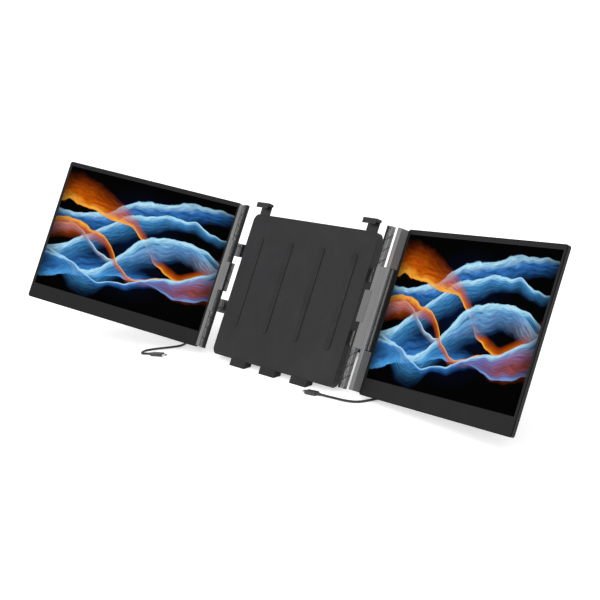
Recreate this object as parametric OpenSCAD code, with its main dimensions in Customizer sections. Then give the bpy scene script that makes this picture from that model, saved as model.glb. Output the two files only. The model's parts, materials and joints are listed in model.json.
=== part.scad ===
// Laptop screen extender: a back frame that hangs behind a laptop's lid and
// carries one hinged monitor on each side. Millimetres, +Z up, +Y to the rear.
// Most pieces are drawn upright in the plane of the lid: x across, y to the
// back, z up from the monitors' bottom edge. leaned() then tips them back.

/* [Pose] */
// Lean of the lid and of the whole frame, back from the vertical
lean = 29.2; // [15:0.1:35]
// Forward angle of the left monitor
left_angle = 25.7; // [0:0.1:60]
// Forward angle of the right monitor
right_angle = 8.2; // [0:0.1:60]

/* [Laptop it grips] */
// How far the laptop's lid stands out past each side of the back frame
lid_side = 19.85; // [16:0.05:24]
// Thickness of the laptop lid
lid_t = 5.2; // [4:0.1:6]
// Height of the lid's top edge above the back frame
lid_rise = 13.8; // [10:0.1:18]

/* [Monitor] */
// Width of the visible picture, 16 inch at 16:10
view_w = 344.7; // [300:0.1:360]
// Height of the visible picture
view_h = 215.4; // [190:0.1:230]
// Bezel beside the picture
bezel_side = 5.2; // [4:0.1:10]
// Bezel above the picture
bezel_top = 7.2; // [5:0.1:12]
// Chin below the picture
chin = 25.4; // [20:0.1:30]
// Depth of the whole monitor casing
case_t = 6; // [5.5:0.1:7]
// Depth of the front bezel
bezel_t = 1.5; // [1.3:0.1:1.8]
// Thickness of the bezel in front of the panel
bezel_skin = 0.8; // [0.6:0.1:1]
// Wall of the back cover
case_wall = 1.4; // [1:0.1:2]
// Floor of the back cover
case_floor = 1; // [0.8:0.1:1.2]
// Corner radius of the casing
case_r = 4; // [2:0.5:8]
// Thickness of the display panel
lcd_t = 2.4; // [2:0.1:2.6]

/* [Ports and buttons] */
// Distance of the port pocket from the hinge axis
pocket_x = 16; // [12:0.5:20]
// Width of the port pocket in the back cover
pocket_w = 86; // [84:0.5:92]
// Height of the port pocket
pocket_h = 12; // [11.6:0.1:13]
// Distance of the first port from the pocket's inner end
port_inset = 46; // [44:0.5:48]
// Spacing of the ports
port_pitch = 16; // [14:0.5:17]
// Diameter of the power button
power_d = 6; // [5:0.1:8]
// Length of the menu rocker
rocker_l = 16; // [12:0.5:20]
// Height of the menu rocker
rocker_h = 5; // [4:0.1:6]
// Distance of the buttons from the casing's outer edge
button_inset = 30; // [24:1:60]
// How far a button stands out of the back cover
button_proud = 0.8; // [0.6:0.1:1.2]

/* [Hinge] */
// Distance of the left hinge axis outside its side strip
left_reach = 4.65; // [4.4:0.05:10]
// Distance of the right hinge axis outside its side strip
right_reach = 18.05; // [12:0.05:24]
// Depth of both hinge axes behind the front of the lid
axis_y = 1; // [0.5:0.1:1.5]
// Setback of the left monitor's front face from its hinge axis
left_setback = 3; // [2.8:0.1:3.4]
// Setback of the right monitor's face, so that it folds over the left one
right_setback = 11.9; // [11.4:0.1:14]
// Radius of the hinge barrels
barrel_r = 4; // [3.5:0.1:4.2]
// Length of the centre knuckle
knuckle_h = 123; // [100:1:140]
// Radius of the hinge pins
pin_r = 1.5; // [1.2:0.1:2]
// Length of each hinge pin inside the knuckle and inside the post
pin_grip = 34; // [20:1:45]
// Distance of the hinge posts' ends from the monitor's top and bottom edges
post_inset = 2.4; // [0:0.1:4]
// Thickness of the knuckle's plate
knuckle_t = 5; // [4:0.1:5.5]

/* [Side bracket] */
// Width of the latticed side strip
strip_w = 8; // [7:0.1:9]
// Depth of the side strip
strip_t = 6.5; // [5.5:0.1:6.8]
// Pitch of the strip's lattice
lattice_pitch = 17.6; // [12:0.1:24]
// Width of one diagonal bar of the lattice
lattice_bar = 1.6; // [1.2:0.1:2.4]
// Depth of the lattice's pockets
lattice_depth = 1.6; // [1:0.1:2.5]
// Height of the clip that grips the lid's edge
clip_h = 48; // [36:1:60]
// Overlap of the clip in front of the lid
clip_overlap = 3; // [2:0.1:5]
// Thickness of the soft lining between the strip and the lid's edge
clip_soft = 3.4; // [1:0.1:4]
// Thickness of the clip and of the hooks' front lips
lip_t = 1.3; // [1:0.1:1.4]
// Height of a sliding rail
rail_h = 22; // [16:1:26]
// Thickness of a sliding rail
rail_t = 3; // [2.5:0.1:3.2]
// Height of the middle of the lower rail; the upper one mirrors it
rail_z = 76; // [74:1:88]
// Travel of each side bracket outward from rest
slide_out = 25; // [15:1:25]
// Travel of each side bracket inward from rest
slide_in = 11; // [4:1:11]
// Distance of the rails' inner ends from the middle at rest
rail_in = 70; // [50:1:90]

/* [Back frame] */
// Width of the back frame
frame_w = 316; // [300:1:320]
// Height of the back frame
frame_h = 238; // [225:1:240]
// Distance of the frame's bottom below the monitors' bottom
frame_drop = 2; // [0:0.5:4]
// Thickness of the front plate
plate_t = 2; // [1.6:0.1:2.2]
// Depth of the back frame
frame_t = 10.8; // [10.6:0.1:12]
// Floor of the rear shell
shell_floor = 2; // [1.5:0.1:2.4]
// Side wall of the rear shell
shell_wall = 2.4; // [2:0.1:4]
// Corner radius of the back frame
frame_r = 12; // [6:1:20]
// Gap between the lid's back and the frame's front plate
lid_gap = 1.3; // [1:0.1:1.6]
// Thickness of the soft pads that the lid leans on
pad_t = 1; // [0.6:0.1:1]

/* [Top hooks] */
// Distance of each hook's middle from the frame's side
hook_inset = 22; // [18:1:40]
// Width of a hook
hook_w = 30; // [28:1:44]
// Height of a hook above the lid's top edge
hook_rise = 5; // [4:0.1:8]
// Drop of the hook's lip in front of the lid
hook_drop = 4; // [3:0.1:6]
// Width of the hook's stem
stem_w = 26; // [20:1:30]
// Thickness of the hook's stem
stem_t = 1.8; // [1.5:0.1:1.9]
// Length of stem inside the frame
stem_in = 54; // [45:1:60]

/* [Kickstand] */
// Height of the kickstand's hinge
stand_z = 150; // [140:1:160]
// Length of the leg from its hinge axis to its foot
stand_l = 150; // [145:1:158]
// Width of the leg
stand_w = 100; // [80:1:120]
// Thickness of the leg
stand_t = 3; // [2.5:0.1:4]
// Radius of the kickstand's hinge pin
stand_pin_r = 2; // [1.5:0.1:2.5]
// Radius of the rubber foot along the leg's end
stand_foot_r = 3; // [2.5:0.1:3.5]

/* [Cables] */
// Diameter of a cable
cable_d = 3.6; // [3:0.1:4]
// Length of a plug's moulded body
plug_l = 22; // [18:0.5:28]
// Width of a plug's moulded body
plug_w = 11; // [10:0.1:12]
// Thickness of a plug's moulded body
plug_t = 5.4; // [5:0.1:6]

/* [Hidden] */
$fn = 48;

// Clearances
fit = 0.05;      // radial, running pins
slip = 0.3;      // pieces that slide or turn past each other
eps = 0.01;      // overshoot of a cut

// Colours
black = [0.13, 0.13, 0.14];
dark = [0.2, 0.2, 0.21];
grey = [0.5, 0.5, 0.51];
steel = [0.72, 0.72, 0.74];
soft = [0.09, 0.09, 0.09];
glass = [0.03, 0.03, 0.04];
green = [0.05, 0.25, 0.12];

// Monitor casing
case_w = view_w + 2 * bezel_side;
case_h = view_h + bezel_top + chin;
case_x = barrel_r;
mid_z = case_h / 2;

// Laptop lid
lid_w = frame_w + 2 * lid_side;
lid_top = frame_h - frame_drop + lid_rise;

// Frame depths, front to back
plate_y = lid_t + lid_gap;
plate_back = plate_y + plate_t;
frame_back = plate_y + frame_t;
floor_y = frame_back - shell_floor;
frame_bottom = -frame_drop;
stem_y = plate_back + slip;
rail_y = floor_y - slip - rail_t;

// Side bracket
strip_x = lid_w / 2 + clip_soft;
strip_out = strip_x + strip_w;
lip_y = -slip - lip_t;
rail_zs = [rail_z, case_h - rail_z];

// Hinge
left_axis_x = strip_out + left_reach;
right_axis_x = strip_out + right_reach;
post_gap = slip;
knuckle_z = mid_z - knuckle_h / 2;

// Kickstand
stand_y = frame_back + slip + stand_foot_r;
foot_rise = 4;
desk_drop = frame_back * sin(lean) + frame_drop * cos(lean) + foot_rise;
stand_axis_height = stand_z * cos(lean) - stand_y * sin(lean) + desk_drop;
stand_splay = acos((stand_axis_height - stand_foot_r) / stand_l);
stand_open = lean + stand_splay;

module leaned() {
    translate([0, 0, desk_drop]) rotate([-lean, 0, 0]) children();
}

// One side of the frame: s is 1 on the right and -1 on the left
module on_side(s) {
    if (s > 0) leaned() children();
    else leaned() mirror([1, 0, 0]) children();
}

// A monitor at its hinge: x runs outward from the axis, y to the rear
module wing(s) {
    axis_x = s > 0 ? right_axis_x : left_axis_x;
    turn = s > 0 ? right_angle : left_angle;
    on_side(s) translate([axis_x, axis_y, 0]) rotate([0, 0, -turn]) children();
}

// Upright plate with rounded corners, x and z centred on x = 0
module slab(x0, x1, y0, y1, z0, z1, r) {
    translate([0, y1, 0]) rotate([90, 0, 0]) linear_extrude(y1 - y0) rounded(x0, x1, z0, z1, r);
}

module rounded(x0, x1, z0, z1, r) {
    translate([x0 + r, z0]) square([x1 - x0 - 2 * r, z1 - z0]);
    translate([x0, z0 + r]) square([x1 - x0, z1 - z0 - 2 * r]);
    for (x = [x0 + r, x1 - r], z = [z0 + r, z1 - r]) translate([x, z]) circle(r);
}

module block(x0, x1, y0, y1, z0, z1) {
    translate([x0, y0, z0]) cube([x1 - x0, y1 - y0, z1 - z0]);
}

module rod_x(x0, x1, y, z, r) {
    translate([x0, y, z]) rotate([0, 90, 0]) cylinder(h = x1 - x0, r = r);
}

module rod_y(x, y0, y1, z, r) {
    translate([x, y0, z]) rotate([-90, 0, 0]) cylinder(h = y1 - y0, r = r);
}

// ---------------------------------------------------------------- back frame

module front_plate() {
    color(dark) leaned() difference() {
        slab(-frame_w / 2, frame_w / 2, plate_y, plate_back, frame_bottom,
             frame_bottom + frame_h, frame_r);
        for (p = screw_places) rod_y(p[0], plate_back - screw_bite, plate_back + eps, p[1], screw_r + fit);
    }
}

screw_r = 1.25;
screw_head_r = 2.6;
screw_head_t = 1.2;
screw_bite = 1.4;
boss_r = 3.6;
screw_inset = 9;
hook_x = frame_w / 2 - hook_inset;
hook_screw_gap = 15;
outer_screw_x = hook_x - stem_w / 2 - hook_screw_gap;
inner_screw_x = 40;
screw_xs = [-outer_screw_x, -inner_screw_x, inner_screw_x, outer_screw_x];
screw_zs = [frame_bottom + screw_inset, frame_bottom + frame_h - screw_inset];
screw_places = concat(
    [for (x = screw_xs, z = screw_zs) [x, z]],
    [for (s = [-1, 1]) [s * (frame_w / 2 - screw_inset), mid_z]]
);
rib_x = outer_screw_x - 10;

lug_w = 7;
lug_r = 4.5;

module rear_shell() {
    color(black) leaned() difference() {
        union() {
            difference() {
                slab(-frame_w / 2, frame_w / 2, plate_back, frame_back, frame_bottom,
                     frame_bottom + frame_h, frame_r);
                slab(-frame_w / 2 + shell_wall, frame_w / 2 - shell_wall, plate_back - eps, floor_y,
                     frame_bottom + shell_wall, frame_bottom + frame_h - shell_wall,
                     frame_r - shell_wall);
            }
            for (p = screw_places) rod_y(p[0], plate_back, floor_y + eps, p[1], boss_r);
            for (x = [-rib_x, rib_x])
                block(x - shell_wall / 2, x + shell_wall / 2, plate_back, floor_y + eps,
                      rail_zs[0] + rail_h / 2 + guide_wall, rail_zs[1] - rail_h / 2 - guide_wall);
            for (s = [-1, 1]) stand_lug(s);
        }
        for (s = [-1, 1], z = rail_zs)
            block(min(s * (frame_w / 2 - shell_wall - eps), s * (frame_w / 2 + eps)),
                  max(s * (frame_w / 2 - shell_wall - eps), s * (frame_w / 2 + eps)),
                  rail_y - slip, floor_y, z - rail_h / 2 - slip, z + rail_h / 2 + slip);
        for (s = [-1, 1])
            block(s * hook_x - stem_w / 2 - slip, s * hook_x + stem_w / 2 + slip,
                  plate_back - eps, stem_y + stem_t + slip,
                  frame_bottom + frame_h - frame_r, frame_bottom + frame_h + eps);
        for (p = screw_places) {
            rod_y(p[0], plate_back - eps, frame_back + eps, p[1], screw_r + fit);
            rod_y(p[0], frame_back - screw_head_t, frame_back + eps, p[1], screw_head_r + fit);
        }
        for (s = [-1, 1])
            rod_x(min(s * (stand_w / 2), s * (stand_w / 2 + lug_w + 1)),
                  max(s * (stand_w / 2), s * (stand_w / 2 + lug_w + 1)), stand_y, stand_z, stand_pin_r);
    }
}

// Ear beside the leg that holds one end of the kickstand's pin
module stand_lug(s) {
    x0 = min(s * (stand_w / 2 + slip), s * (stand_w / 2 + slip + lug_w));
    rod_x(x0, x0 + lug_w, stand_y, stand_z, lug_r);
    block(x0, x0 + lug_w, frame_back - eps, stand_y, stand_z - lug_r, stand_z + lug_r);
}

guide_wall = 3;
guide_skin = 0.6;
guide_l = 34;
guide_x1 = frame_w / 2 - shell_wall - slip;
stop_x = guide_x1 - guide_l + 5;

// Plastic blocks inside the frame that the four rails slide through
module rail_guides() {
    color(steel) for (s = [-1, 1]) on_side(s) for (z = rail_zs) {
        difference() {
            block(guide_x1 - guide_l, guide_x1, rail_y - slip - guide_skin, floor_y,
                  z - rail_h / 2 - guide_wall, z + rail_h / 2 + guide_wall);
            block(guide_x1 - guide_l - eps, guide_x1 + eps, rail_y - slip, floor_y + eps,
                  z - rail_h / 2 - slip, z + rail_h / 2 + slip);
        }
        rod_y(stop_x, rail_y - slip - eps, floor_y, z, stop_r - slip);
    }
}

pad_w = 12;
pad_h = 150;
pad_inset = 38;
pad_x = frame_w / 2 - pad_inset;

// Soft strips that the back of the lid leans on
module lid_pads() {
    color(soft) leaned() for (x = [-pad_x, -pad_x / 3, pad_x / 3, pad_x])
        slab(x - pad_w / 2, x + pad_w / 2, plate_y - pad_t, plate_y, mid_z - pad_h / 2,
             mid_z + pad_h / 2, pad_w / 2 - 1);
}

foot_w = 40;
foot_inset = 78;
foot_x = frame_w / 2 - foot_inset;

// Rubber feet under the frame, cut level with the desk
module frame_feet() {
    color(soft) for (x = [-foot_x, 0, foot_x]) intersection() {
        leaned() block(x - foot_w / 2, x + foot_w / 2, lid_t, frame_back,
                       frame_bottom - 2 * frame_t, frame_bottom);
        translate([x - foot_w, -frame_w, 0]) cube([2 * foot_w, 2 * frame_w, frame_h]);
    }
}

module frame_screws() {
    color(steel) leaned() for (p = screw_places) {
        rod_y(p[0], plate_back - screw_bite, frame_back - screw_head_t, p[1], screw_r);
        difference() {
            rod_y(p[0], frame_back - screw_head_t, frame_back, p[1], screw_head_r);
            rod_y(p[0], frame_back - screw_head_t / 2, frame_back + eps, p[1], screw_r / 2);
        }
    }
}

// ----------------------------------------------------------------- kickstand

// The leg's own space: x across, the leg runs down -z from its pin
module at_stand() {
    leaned() translate([0, stand_y, stand_z]) rotate([stand_open, 0, 0]) children();
}

leg_barrel_r = stand_foot_r;
leg_margin = 16;
leg_r = 10;

module stand_pin() {
    color(steel) leaned() rod_x(-stand_w / 2 - lug_w - slip, stand_w / 2 + lug_w + slip,
                                stand_y, stand_z, stand_pin_r);
}

module stand_leg() {
    color(dark) at_stand() difference() {
        union() {
            rod_x(-stand_w / 2, stand_w / 2, 0, 0, leg_barrel_r);
            block(-stand_w / 2, stand_w / 2, -stand_t / 2, stand_t / 2, -stand_l + stand_foot_r, 0);
        }
        slab(-stand_w / 2 + leg_margin, stand_w / 2 - leg_margin, -stand_t, stand_t,
             -stand_l + leg_margin + leg_r, -leg_margin, leg_r);
        rod_x(-stand_w / 2 - eps, stand_w / 2 + eps, 0, 0, stand_pin_r + fit);
    }
}

module stand_foot() {
    color(soft) at_stand() {
        rod_x(-stand_w / 2, stand_w / 2, 0, -stand_l, stand_foot_r);
        block(-stand_w / 2, stand_w / 2, -stand_t / 2, stand_t / 2, -stand_l, -stand_l + stand_foot_r);
    }
}

// ----------------------------------------------------------------- top hooks

hook_pad_t = 0.6;
hook_soft = 2;

// Hook over the lid's top edge, with its stem in the frame
module hook() {
    top = lid_top + hook_rise;
    seat = lid_top + hook_pad_t;
    color(grey) {
        block(hook_x - stem_w / 2, hook_x + stem_w / 2, stem_y, stem_y + stem_t,
              frame_bottom + frame_h - stem_in, top - hook_soft);
        translate([hook_x - hook_w / 2, 0, 0]) rotate([90, 0, 90]) linear_extrude(hook_w) {
            translate([lip_y, seat]) square([stem_y + stem_t - lip_y, top - seat - hook_soft]);
            translate([lip_y + hook_soft, seat]) square([stem_y + stem_t - lip_y - 2 * hook_soft, top - seat]);
            translate([lip_y, lid_top - hook_drop]) square([lip_t, hook_drop + hook_rise - hook_soft]);
            for (y = [lip_y + hook_soft, stem_y + stem_t - hook_soft])
                translate([y, top - hook_soft]) circle(hook_soft);
        }
    }
}

module hook_pad() {
    color(soft) block(hook_x - hook_w / 2 + 1, hook_x + hook_w / 2 - 1, 0, lid_t, lid_top,
                      lid_top + hook_pad_t);
}

module left_hook() { on_side(-1) hook(); }
module right_hook() { on_side(1) hook(); }
module left_hook_pad() { on_side(-1) hook_pad(); }
module right_hook_pad() { on_side(1) hook_pad(); }

// --------------------------------------------------------------- side bracket

strip_margin = 1.2;
edge_rail = 2.2;
inner_rail = 1;

// Full-height strip at the lid's edge, with a lattice above and below the knuckle
module strip() {
    color(grey) difference() {
        block(strip_x, strip_out, axis_y, axis_y + strip_t, strip_margin, case_h - strip_margin);
        lattice(strip_margin + edge_rail, knuckle_z - edge_rail);
        lattice(knuckle_z + knuckle_h + edge_rail, case_h - strip_margin - edge_rail);
        for (z = rail_zs, dz = [-1, 1]) rod_y(screw_x, axis_y + strip_t - strip_screw_bite,
            axis_y + strip_t + eps, z + dz * rail_h / 4, screw_r + fit);
    }
    color(grey) for (z = rail_zs) difference() {
        block(strip_x, strip_pad_out, axis_y + strip_t - eps, rail_y, z - rail_h / 2, z + rail_h / 2);
        for (dz = [-1, 1]) rod_y(screw_x, axis_y + strip_t - 2 * eps, rail_y + eps,
                                 z + dz * rail_h / 4, screw_r + fit);
    }
    color(grey) block(strip_x - flange_w, strip_x + eps, lid_t + slip, axis_y + strip_t,
                      mid_z - clip_h / 2, mid_z + clip_h / 2);
}

flange_w = 9.5;

strip_pad_out = strip_out - 2;
screw_x = strip_x + 3;
strip_screw_bite = 4;

// Triangular pockets between zig-zag bars
module lattice(z0, z1) {
    x0 = strip_x + inner_rail;
    x1 = strip_out - edge_rail;
    steps = floor((z1 - z0) / (lattice_pitch / 2));
    step = (z1 - z0) / steps;
    half = lattice_bar / 2;
    for (i = [0 : steps - 1]) {
        za = z0 + i * step;
        up = i % 2 == 0;
        translate([0, axis_y + lattice_depth, 0]) rotate([90, 0, 0]) linear_extrude(lattice_depth + eps) {
            polygon(up ? [[x0, za + 2 * half], [x1 - half, za + step - half], [x0, za + step - half]]
                       : [[x0, za + half], [x1 - half, za + half], [x0, za + step - 2 * half]]);
            polygon(up ? [[x0 + 2 * half, za + half], [x1, za + half], [x1, za + step - 2 * half]]
                       : [[x1, za + 2 * half], [x1, za + step - half], [x0 + 2 * half, za + step - half]]);
        }
    }
}

stop_r = 4;

// Two flat rails that slide in the frame
module rails() {
    color(steel) for (z = rail_zs) difference() {
        slab(rail_in, strip_pad_out, rail_y, rail_y + rail_t, z - rail_h / 2, z + rail_h / 2, 2);
        for (dz = [-1, 1]) rod_y(screw_x, rail_y - eps, rail_y + rail_t + eps,
                                 z + dz * rail_h / 4, screw_r + fit);
        slab(stop_x - stop_r - slide_out, stop_x + stop_r + slide_in, rail_y - eps,
             rail_y + rail_t + eps, z - stop_r, z + stop_r, stop_r - eps);
    }
}

module strip_screws() {
    color(steel) for (z = rail_zs, dz = [-1, 1]) {
        rod_y(screw_x, axis_y + strip_t - strip_screw_bite, rail_y + rail_t, z + dz * rail_h / 4, screw_r);
        rod_y(screw_x, rail_y + rail_t, rail_y + rail_t + screw_head_t, z + dz * rail_h / 4, screw_head_r);
    }
}

plate_step = 3;

// Centre knuckle: barrel, plate over the strip, and the clip round the lid's edge
module knuckle(axis_x) {
    z1 = knuckle_z + knuckle_h;
    clip_z0 = mid_z - clip_h / 2;
    clip_z1 = mid_z + clip_h / 2;
    color(grey) difference() {
        union() {
            translate([axis_x, axis_y, knuckle_z]) cylinder(h = knuckle_h, r = barrel_r);
            block(strip_out, axis_x, lip_y, lip_y + knuckle_t, knuckle_z, z1);
            block(strip_x + plate_step, strip_out, lip_y, axis_y, knuckle_z, z1);
            block(lid_w / 2 - clip_overlap, strip_x + plate_step, lip_y, lip_y + lip_t, clip_z0, clip_z1);
        }
        translate([axis_x, axis_y, knuckle_z - eps]) cylinder(h = pin_grip + eps, r = pin_r);
        translate([axis_x, axis_y, z1 - pin_grip]) cylinder(h = pin_grip + eps, r = pin_r);
    }
}

module hinge_pins(axis_x) {
    color(steel) for (z = [knuckle_z, knuckle_z + knuckle_h])
        translate([axis_x, axis_y, z - pin_grip + slip]) cylinder(h = 2 * pin_grip - 2 * slip, r = pin_r);
}

// Soft lining on the strip's inner side, for the lid's edge
module clip_pad() {
    color(soft) block(lid_w / 2, strip_x, 0, lid_t, strip_margin, case_h - strip_margin);
}

module left_strip() { on_side(-1) strip(); }
module right_strip() { on_side(1) strip(); }
module left_rails() { on_side(-1) rails(); }
module right_rails() { on_side(1) rails(); }
module left_strip_screws() { on_side(-1) strip_screws(); }
module right_strip_screws() { on_side(1) strip_screws(); }
module left_knuckle() { on_side(-1) knuckle(left_axis_x); }
module right_knuckle() { on_side(1) knuckle(right_axis_x); }
module left_hinge_pins() { on_side(-1) hinge_pins(left_axis_x); }
module right_hinge_pins() { on_side(1) hinge_pins(right_axis_x); }
module left_clip_pad() { on_side(-1) clip_pad(); }
module right_clip_pad() { on_side(1) clip_pad(); }

// ------------------------------------------------------------------- monitor

barrel_clear = barrel_r + slip + 0.5;

function spine_front(setback) = max(setback, barrel_clear);

// Bar along the casing's hinge edge that carries the posts, and closes the gap between them
module spine(setback) {
    color(black) {
        block(-barrel_r, case_x, spine_front(setback), setback + case_t, post_inset, case_h - post_inset);
        if (setback > barrel_clear)
            block(-barrel_r, case_x, barrel_clear, setback + eps, knuckle_z, knuckle_z + knuckle_h);
    }
}

// Upper and lower barrels with the web that stands them off the monitor
module posts(setback) {
    h = knuckle_z - post_gap - post_inset;
    for (z = [post_inset, case_h - post_inset - h]) {
        color(grey) translate([0, 0, z]) difference() {
            union() {
                cylinder(h = h, r = barrel_r);
                block(-barrel_r, barrel_r, 0, spine_front(setback), 0, h);
            }
            translate([0, 0, z == post_inset ? h - pin_grip - 1 : -eps])
                cylinder(h = pin_grip + 1 + eps, r = pin_r + fit);
        }
    }
}

module bezel(setback) {
    color(dark) difference() {
        slab(case_x, case_x + case_w, setback, setback + bezel_t, 0, case_h, case_r);
        block(case_x + bezel_side, case_x + bezel_side + view_w, setback - eps, setback + bezel_t + eps,
              chin, chin + view_h);
        block(lcd_x0, lcd_x1, setback + bezel_skin, setback + bezel_t + eps, lcd_z0, lcd_z1);
    }
}

port_l = 7.5;
port_z = pocket_h + port_l;
cave_z = port_z + 8;
lcd_lap = 2.4;
ledge = 2.6;
lcd_x0 = case_x + bezel_side - lcd_lap;
lcd_x1 = case_x + bezel_side + view_w + lcd_lap;
lcd_z0 = chin - 4;
lcd_z1 = chin + view_h + lcd_lap;

module screen(setback) {
    color(glass) block(lcd_x0 + slip, lcd_x1 - slip, setback + bezel_skin, setback + bezel_skin + lcd_t,
                       lcd_z0 + slip, lcd_z1 - slip);
}

port_y = bezel_t + (case_t - bezel_t) / 2;
usb_w = 8.9;
usb_t = 3.2;
hdmi_w = 11.2;
port_wall = 0.35;
port_x = pocket_x + port_inset;
port_xs = [port_x, port_x + port_pitch, port_x + 2 * port_pitch + 1];
tab_w = 6.6;
tab_t = 0.7;

// Rounded port opening, drawn from the pocket's roof upward
module port_shape(w, t, h) {
    translate([0, 0, pocket_h]) linear_extrude(h) rounded(-w / 2, w / 2, -t / 2, t / 2, t / 2 - 0.05);
}

module each_port(setback, grow) {
    for (i = [0 : 2]) translate([port_xs[i], setback + port_y, 0])
        port_shape((i < 2 ? usb_w : hdmi_w) + 2 * grow, usb_t + 2 * grow, port_z - pocket_h + grow);
}

module ports(setback) {
    color(steel) difference() {
        each_port(setback, 0);
        translate([0, 0, -port_wall]) each_port(setback, -port_wall);
    }
    color(soft) for (i = [0 : 1]) translate([port_xs[i], setback + port_y, 0])
        block(-tab_w / 2, tab_w / 2, -tab_t / 2, tab_t / 2, pocket_h + 1.5, port_z - port_wall);
}

grille_n = 8;
grille_pitch = 5;
grille_slot = 1.6;
grille_h = 9;
grille_z = 12;
speaker_xs = [case_x + case_w * 0.45, case_x + case_w * 0.75];
case_screw_xs = [case_x + 10, case_x + case_w / 2, case_x + case_w - 10];
case_screw_zs = [case_h - 9, 48];
case_screw_r = 1;
case_head_r = 1.9;
case_head_t = 0.6;
button_z = 14;
power_x = case_x + case_w - button_inset;
rocker_x = power_x - 24;
button_skirt = 1.1;
rocker_pivot_r = 0.7;

module back_cover(setback) {
    y0 = setback + bezel_t;
    y1 = setback + case_t;
    color(black) difference() {
        slab(case_x, case_x + case_w, y0, y1, 0, case_h, case_r);
        block(lcd_x0 + ledge, lcd_x1 - ledge, y0 - eps, y1 - case_floor, cave_z, lcd_z1 - ledge);
        block(pocket_x + pocket_w + 2 * case_wall, case_x + case_w - case_wall, y0 - eps,
              y1 - case_floor, 2 * case_wall, cave_z + eps);
        block(lcd_x0, lcd_x1, y0 - eps, setback + bezel_skin + lcd_t, lcd_z0, lcd_z1);
        block(pocket_x, pocket_x + pocket_w, y0 - eps, y1 + eps, -eps, pocket_h);
        each_port(setback, 0);
        for (x = speaker_xs, i = [0 : grille_n - 1])
            slab(x + (i - (grille_n - 1) / 2) * grille_pitch - grille_slot / 2,
                 x + (i - (grille_n - 1) / 2) * grille_pitch + grille_slot / 2,
                 y0, y1 + eps, grille_z - grille_h / 2, grille_z + grille_h / 2, grille_slot / 2 - eps);
        rod_y(power_x, y0, y1 + eps, button_z, power_d / 2 + slip);
        slab(rocker_x - rocker_l / 2 - slip, rocker_x + rocker_l / 2 + slip, y0, y1 + eps,
             button_z - rocker_h / 2 - slip, button_z + rocker_h / 2 + slip, rocker_h / 2);
        for (x = case_screw_xs, z = case_screw_zs)
            rod_y(x, y1 - case_head_t, y1 + eps, z, case_head_r + fit);
    }
}

board_t = 1;
board_x0 = pocket_x + pocket_w + 8;
board_x1 = case_x + case_w - 12;
board_h = 13;
board_z = 4;
board_y = bezel_t;
chip_t = 0.9;
chips = [[20, 8], [44, 6], [70, 9], [128, 7], [156, 8]];

// Driver board in the chin, with its chips
module board(setback) {
    color(green) block(board_x0, board_x1, setback + board_y, setback + board_y + board_t,
                       board_z, board_z + board_h);
    color(soft) for (c = chips) block(board_x0 + c[0], board_x0 + c[0] + c[1],
        setback + board_y + board_t, setback + board_y + board_t + chip_t,
        board_z + 2, board_z + 2 + c[1]);
}

speaker_t = 1.2;

// Flat speakers behind the grilles
module speakers(setback) {
    w = grille_n * grille_pitch;
    y1 = setback + case_t - case_floor;
    color(dark) for (x = speaker_xs)
        slab(x - w / 2, x + w / 2, y1 - speaker_t, y1, grille_z - grille_h / 2 - 1,
             grille_z + grille_h / 2 + 1, 2);
}

module power_button(setback) {
    y1 = setback + case_t;
    color(grey) rod_y(power_x, y1 - case_floor - button_skirt, y1 + button_proud, button_z, power_d / 2);
}

module menu_rocker(setback) {
    y1 = setback + case_t;
    color(grey) {
        slab(rocker_x - rocker_l / 2, rocker_x + rocker_l / 2, y1 - case_floor - button_skirt,
             y1 + button_proud, button_z - rocker_h / 2, button_z + rocker_h / 2,
             rocker_h / 2 - eps);
        translate([rocker_x, y1 - case_floor - button_skirt, button_z - rocker_h / 2 + rocker_pivot_r])
            cylinder(h = rocker_h - 2 * rocker_pivot_r, r = rocker_pivot_r);
    }
}

module case_screws(setback) {
    y1 = setback + case_t;
    color(steel) for (x = case_screw_xs, z = case_screw_zs) difference() {
        rod_y(x, y1 - case_head_t, y1, z, case_head_r);
        rod_y(x, y1 - case_head_t / 2, y1 + eps, z, case_screw_r / 2);
    }
}

module left_spine() { wing(-1) spine(left_setback); }
module left_posts() { wing(-1) posts(left_setback); }
module left_bezel() { wing(-1) bezel(left_setback); }
module left_screen() { wing(-1) screen(left_setback); }
module left_back_cover() { wing(-1) back_cover(left_setback); }
module left_board() { wing(-1) board(left_setback); }
module left_ports() { wing(-1) ports(left_setback); }
module left_speakers() { wing(-1) speakers(left_setback); }
module left_power_button() { wing(-1) power_button(left_setback); }
module left_menu_rocker() { wing(-1) menu_rocker(left_setback); }
module left_case_screws() { wing(-1) case_screws(left_setback); }
module right_spine() { wing(1) spine(right_setback); }
module right_posts() { wing(1) posts(right_setback); }
module right_bezel() { wing(1) bezel(right_setback); }
module right_screen() { wing(1) screen(right_setback); }
module right_back_cover() { wing(1) back_cover(right_setback); }
module right_board() { wing(1) board(right_setback); }
module right_ports() { wing(1) ports(right_setback); }
module right_speakers() { wing(1) speakers(right_setback); }
module right_power_button() { wing(1) power_button(right_setback); }
module right_menu_rocker() { wing(1) menu_rocker(right_setback); }
module right_case_screws() { wing(1) case_screws(right_setback); }

// -------------------------------------------------------------------- cables

tongue_w = 8;
tongue_t = 2.3;
tongue_l = 6.4;
tongue_wall = 0.5;
relief_l = 7;
relief_r = 2.6;
plug_foot = 1;
plug_r = 1.6;

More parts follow.
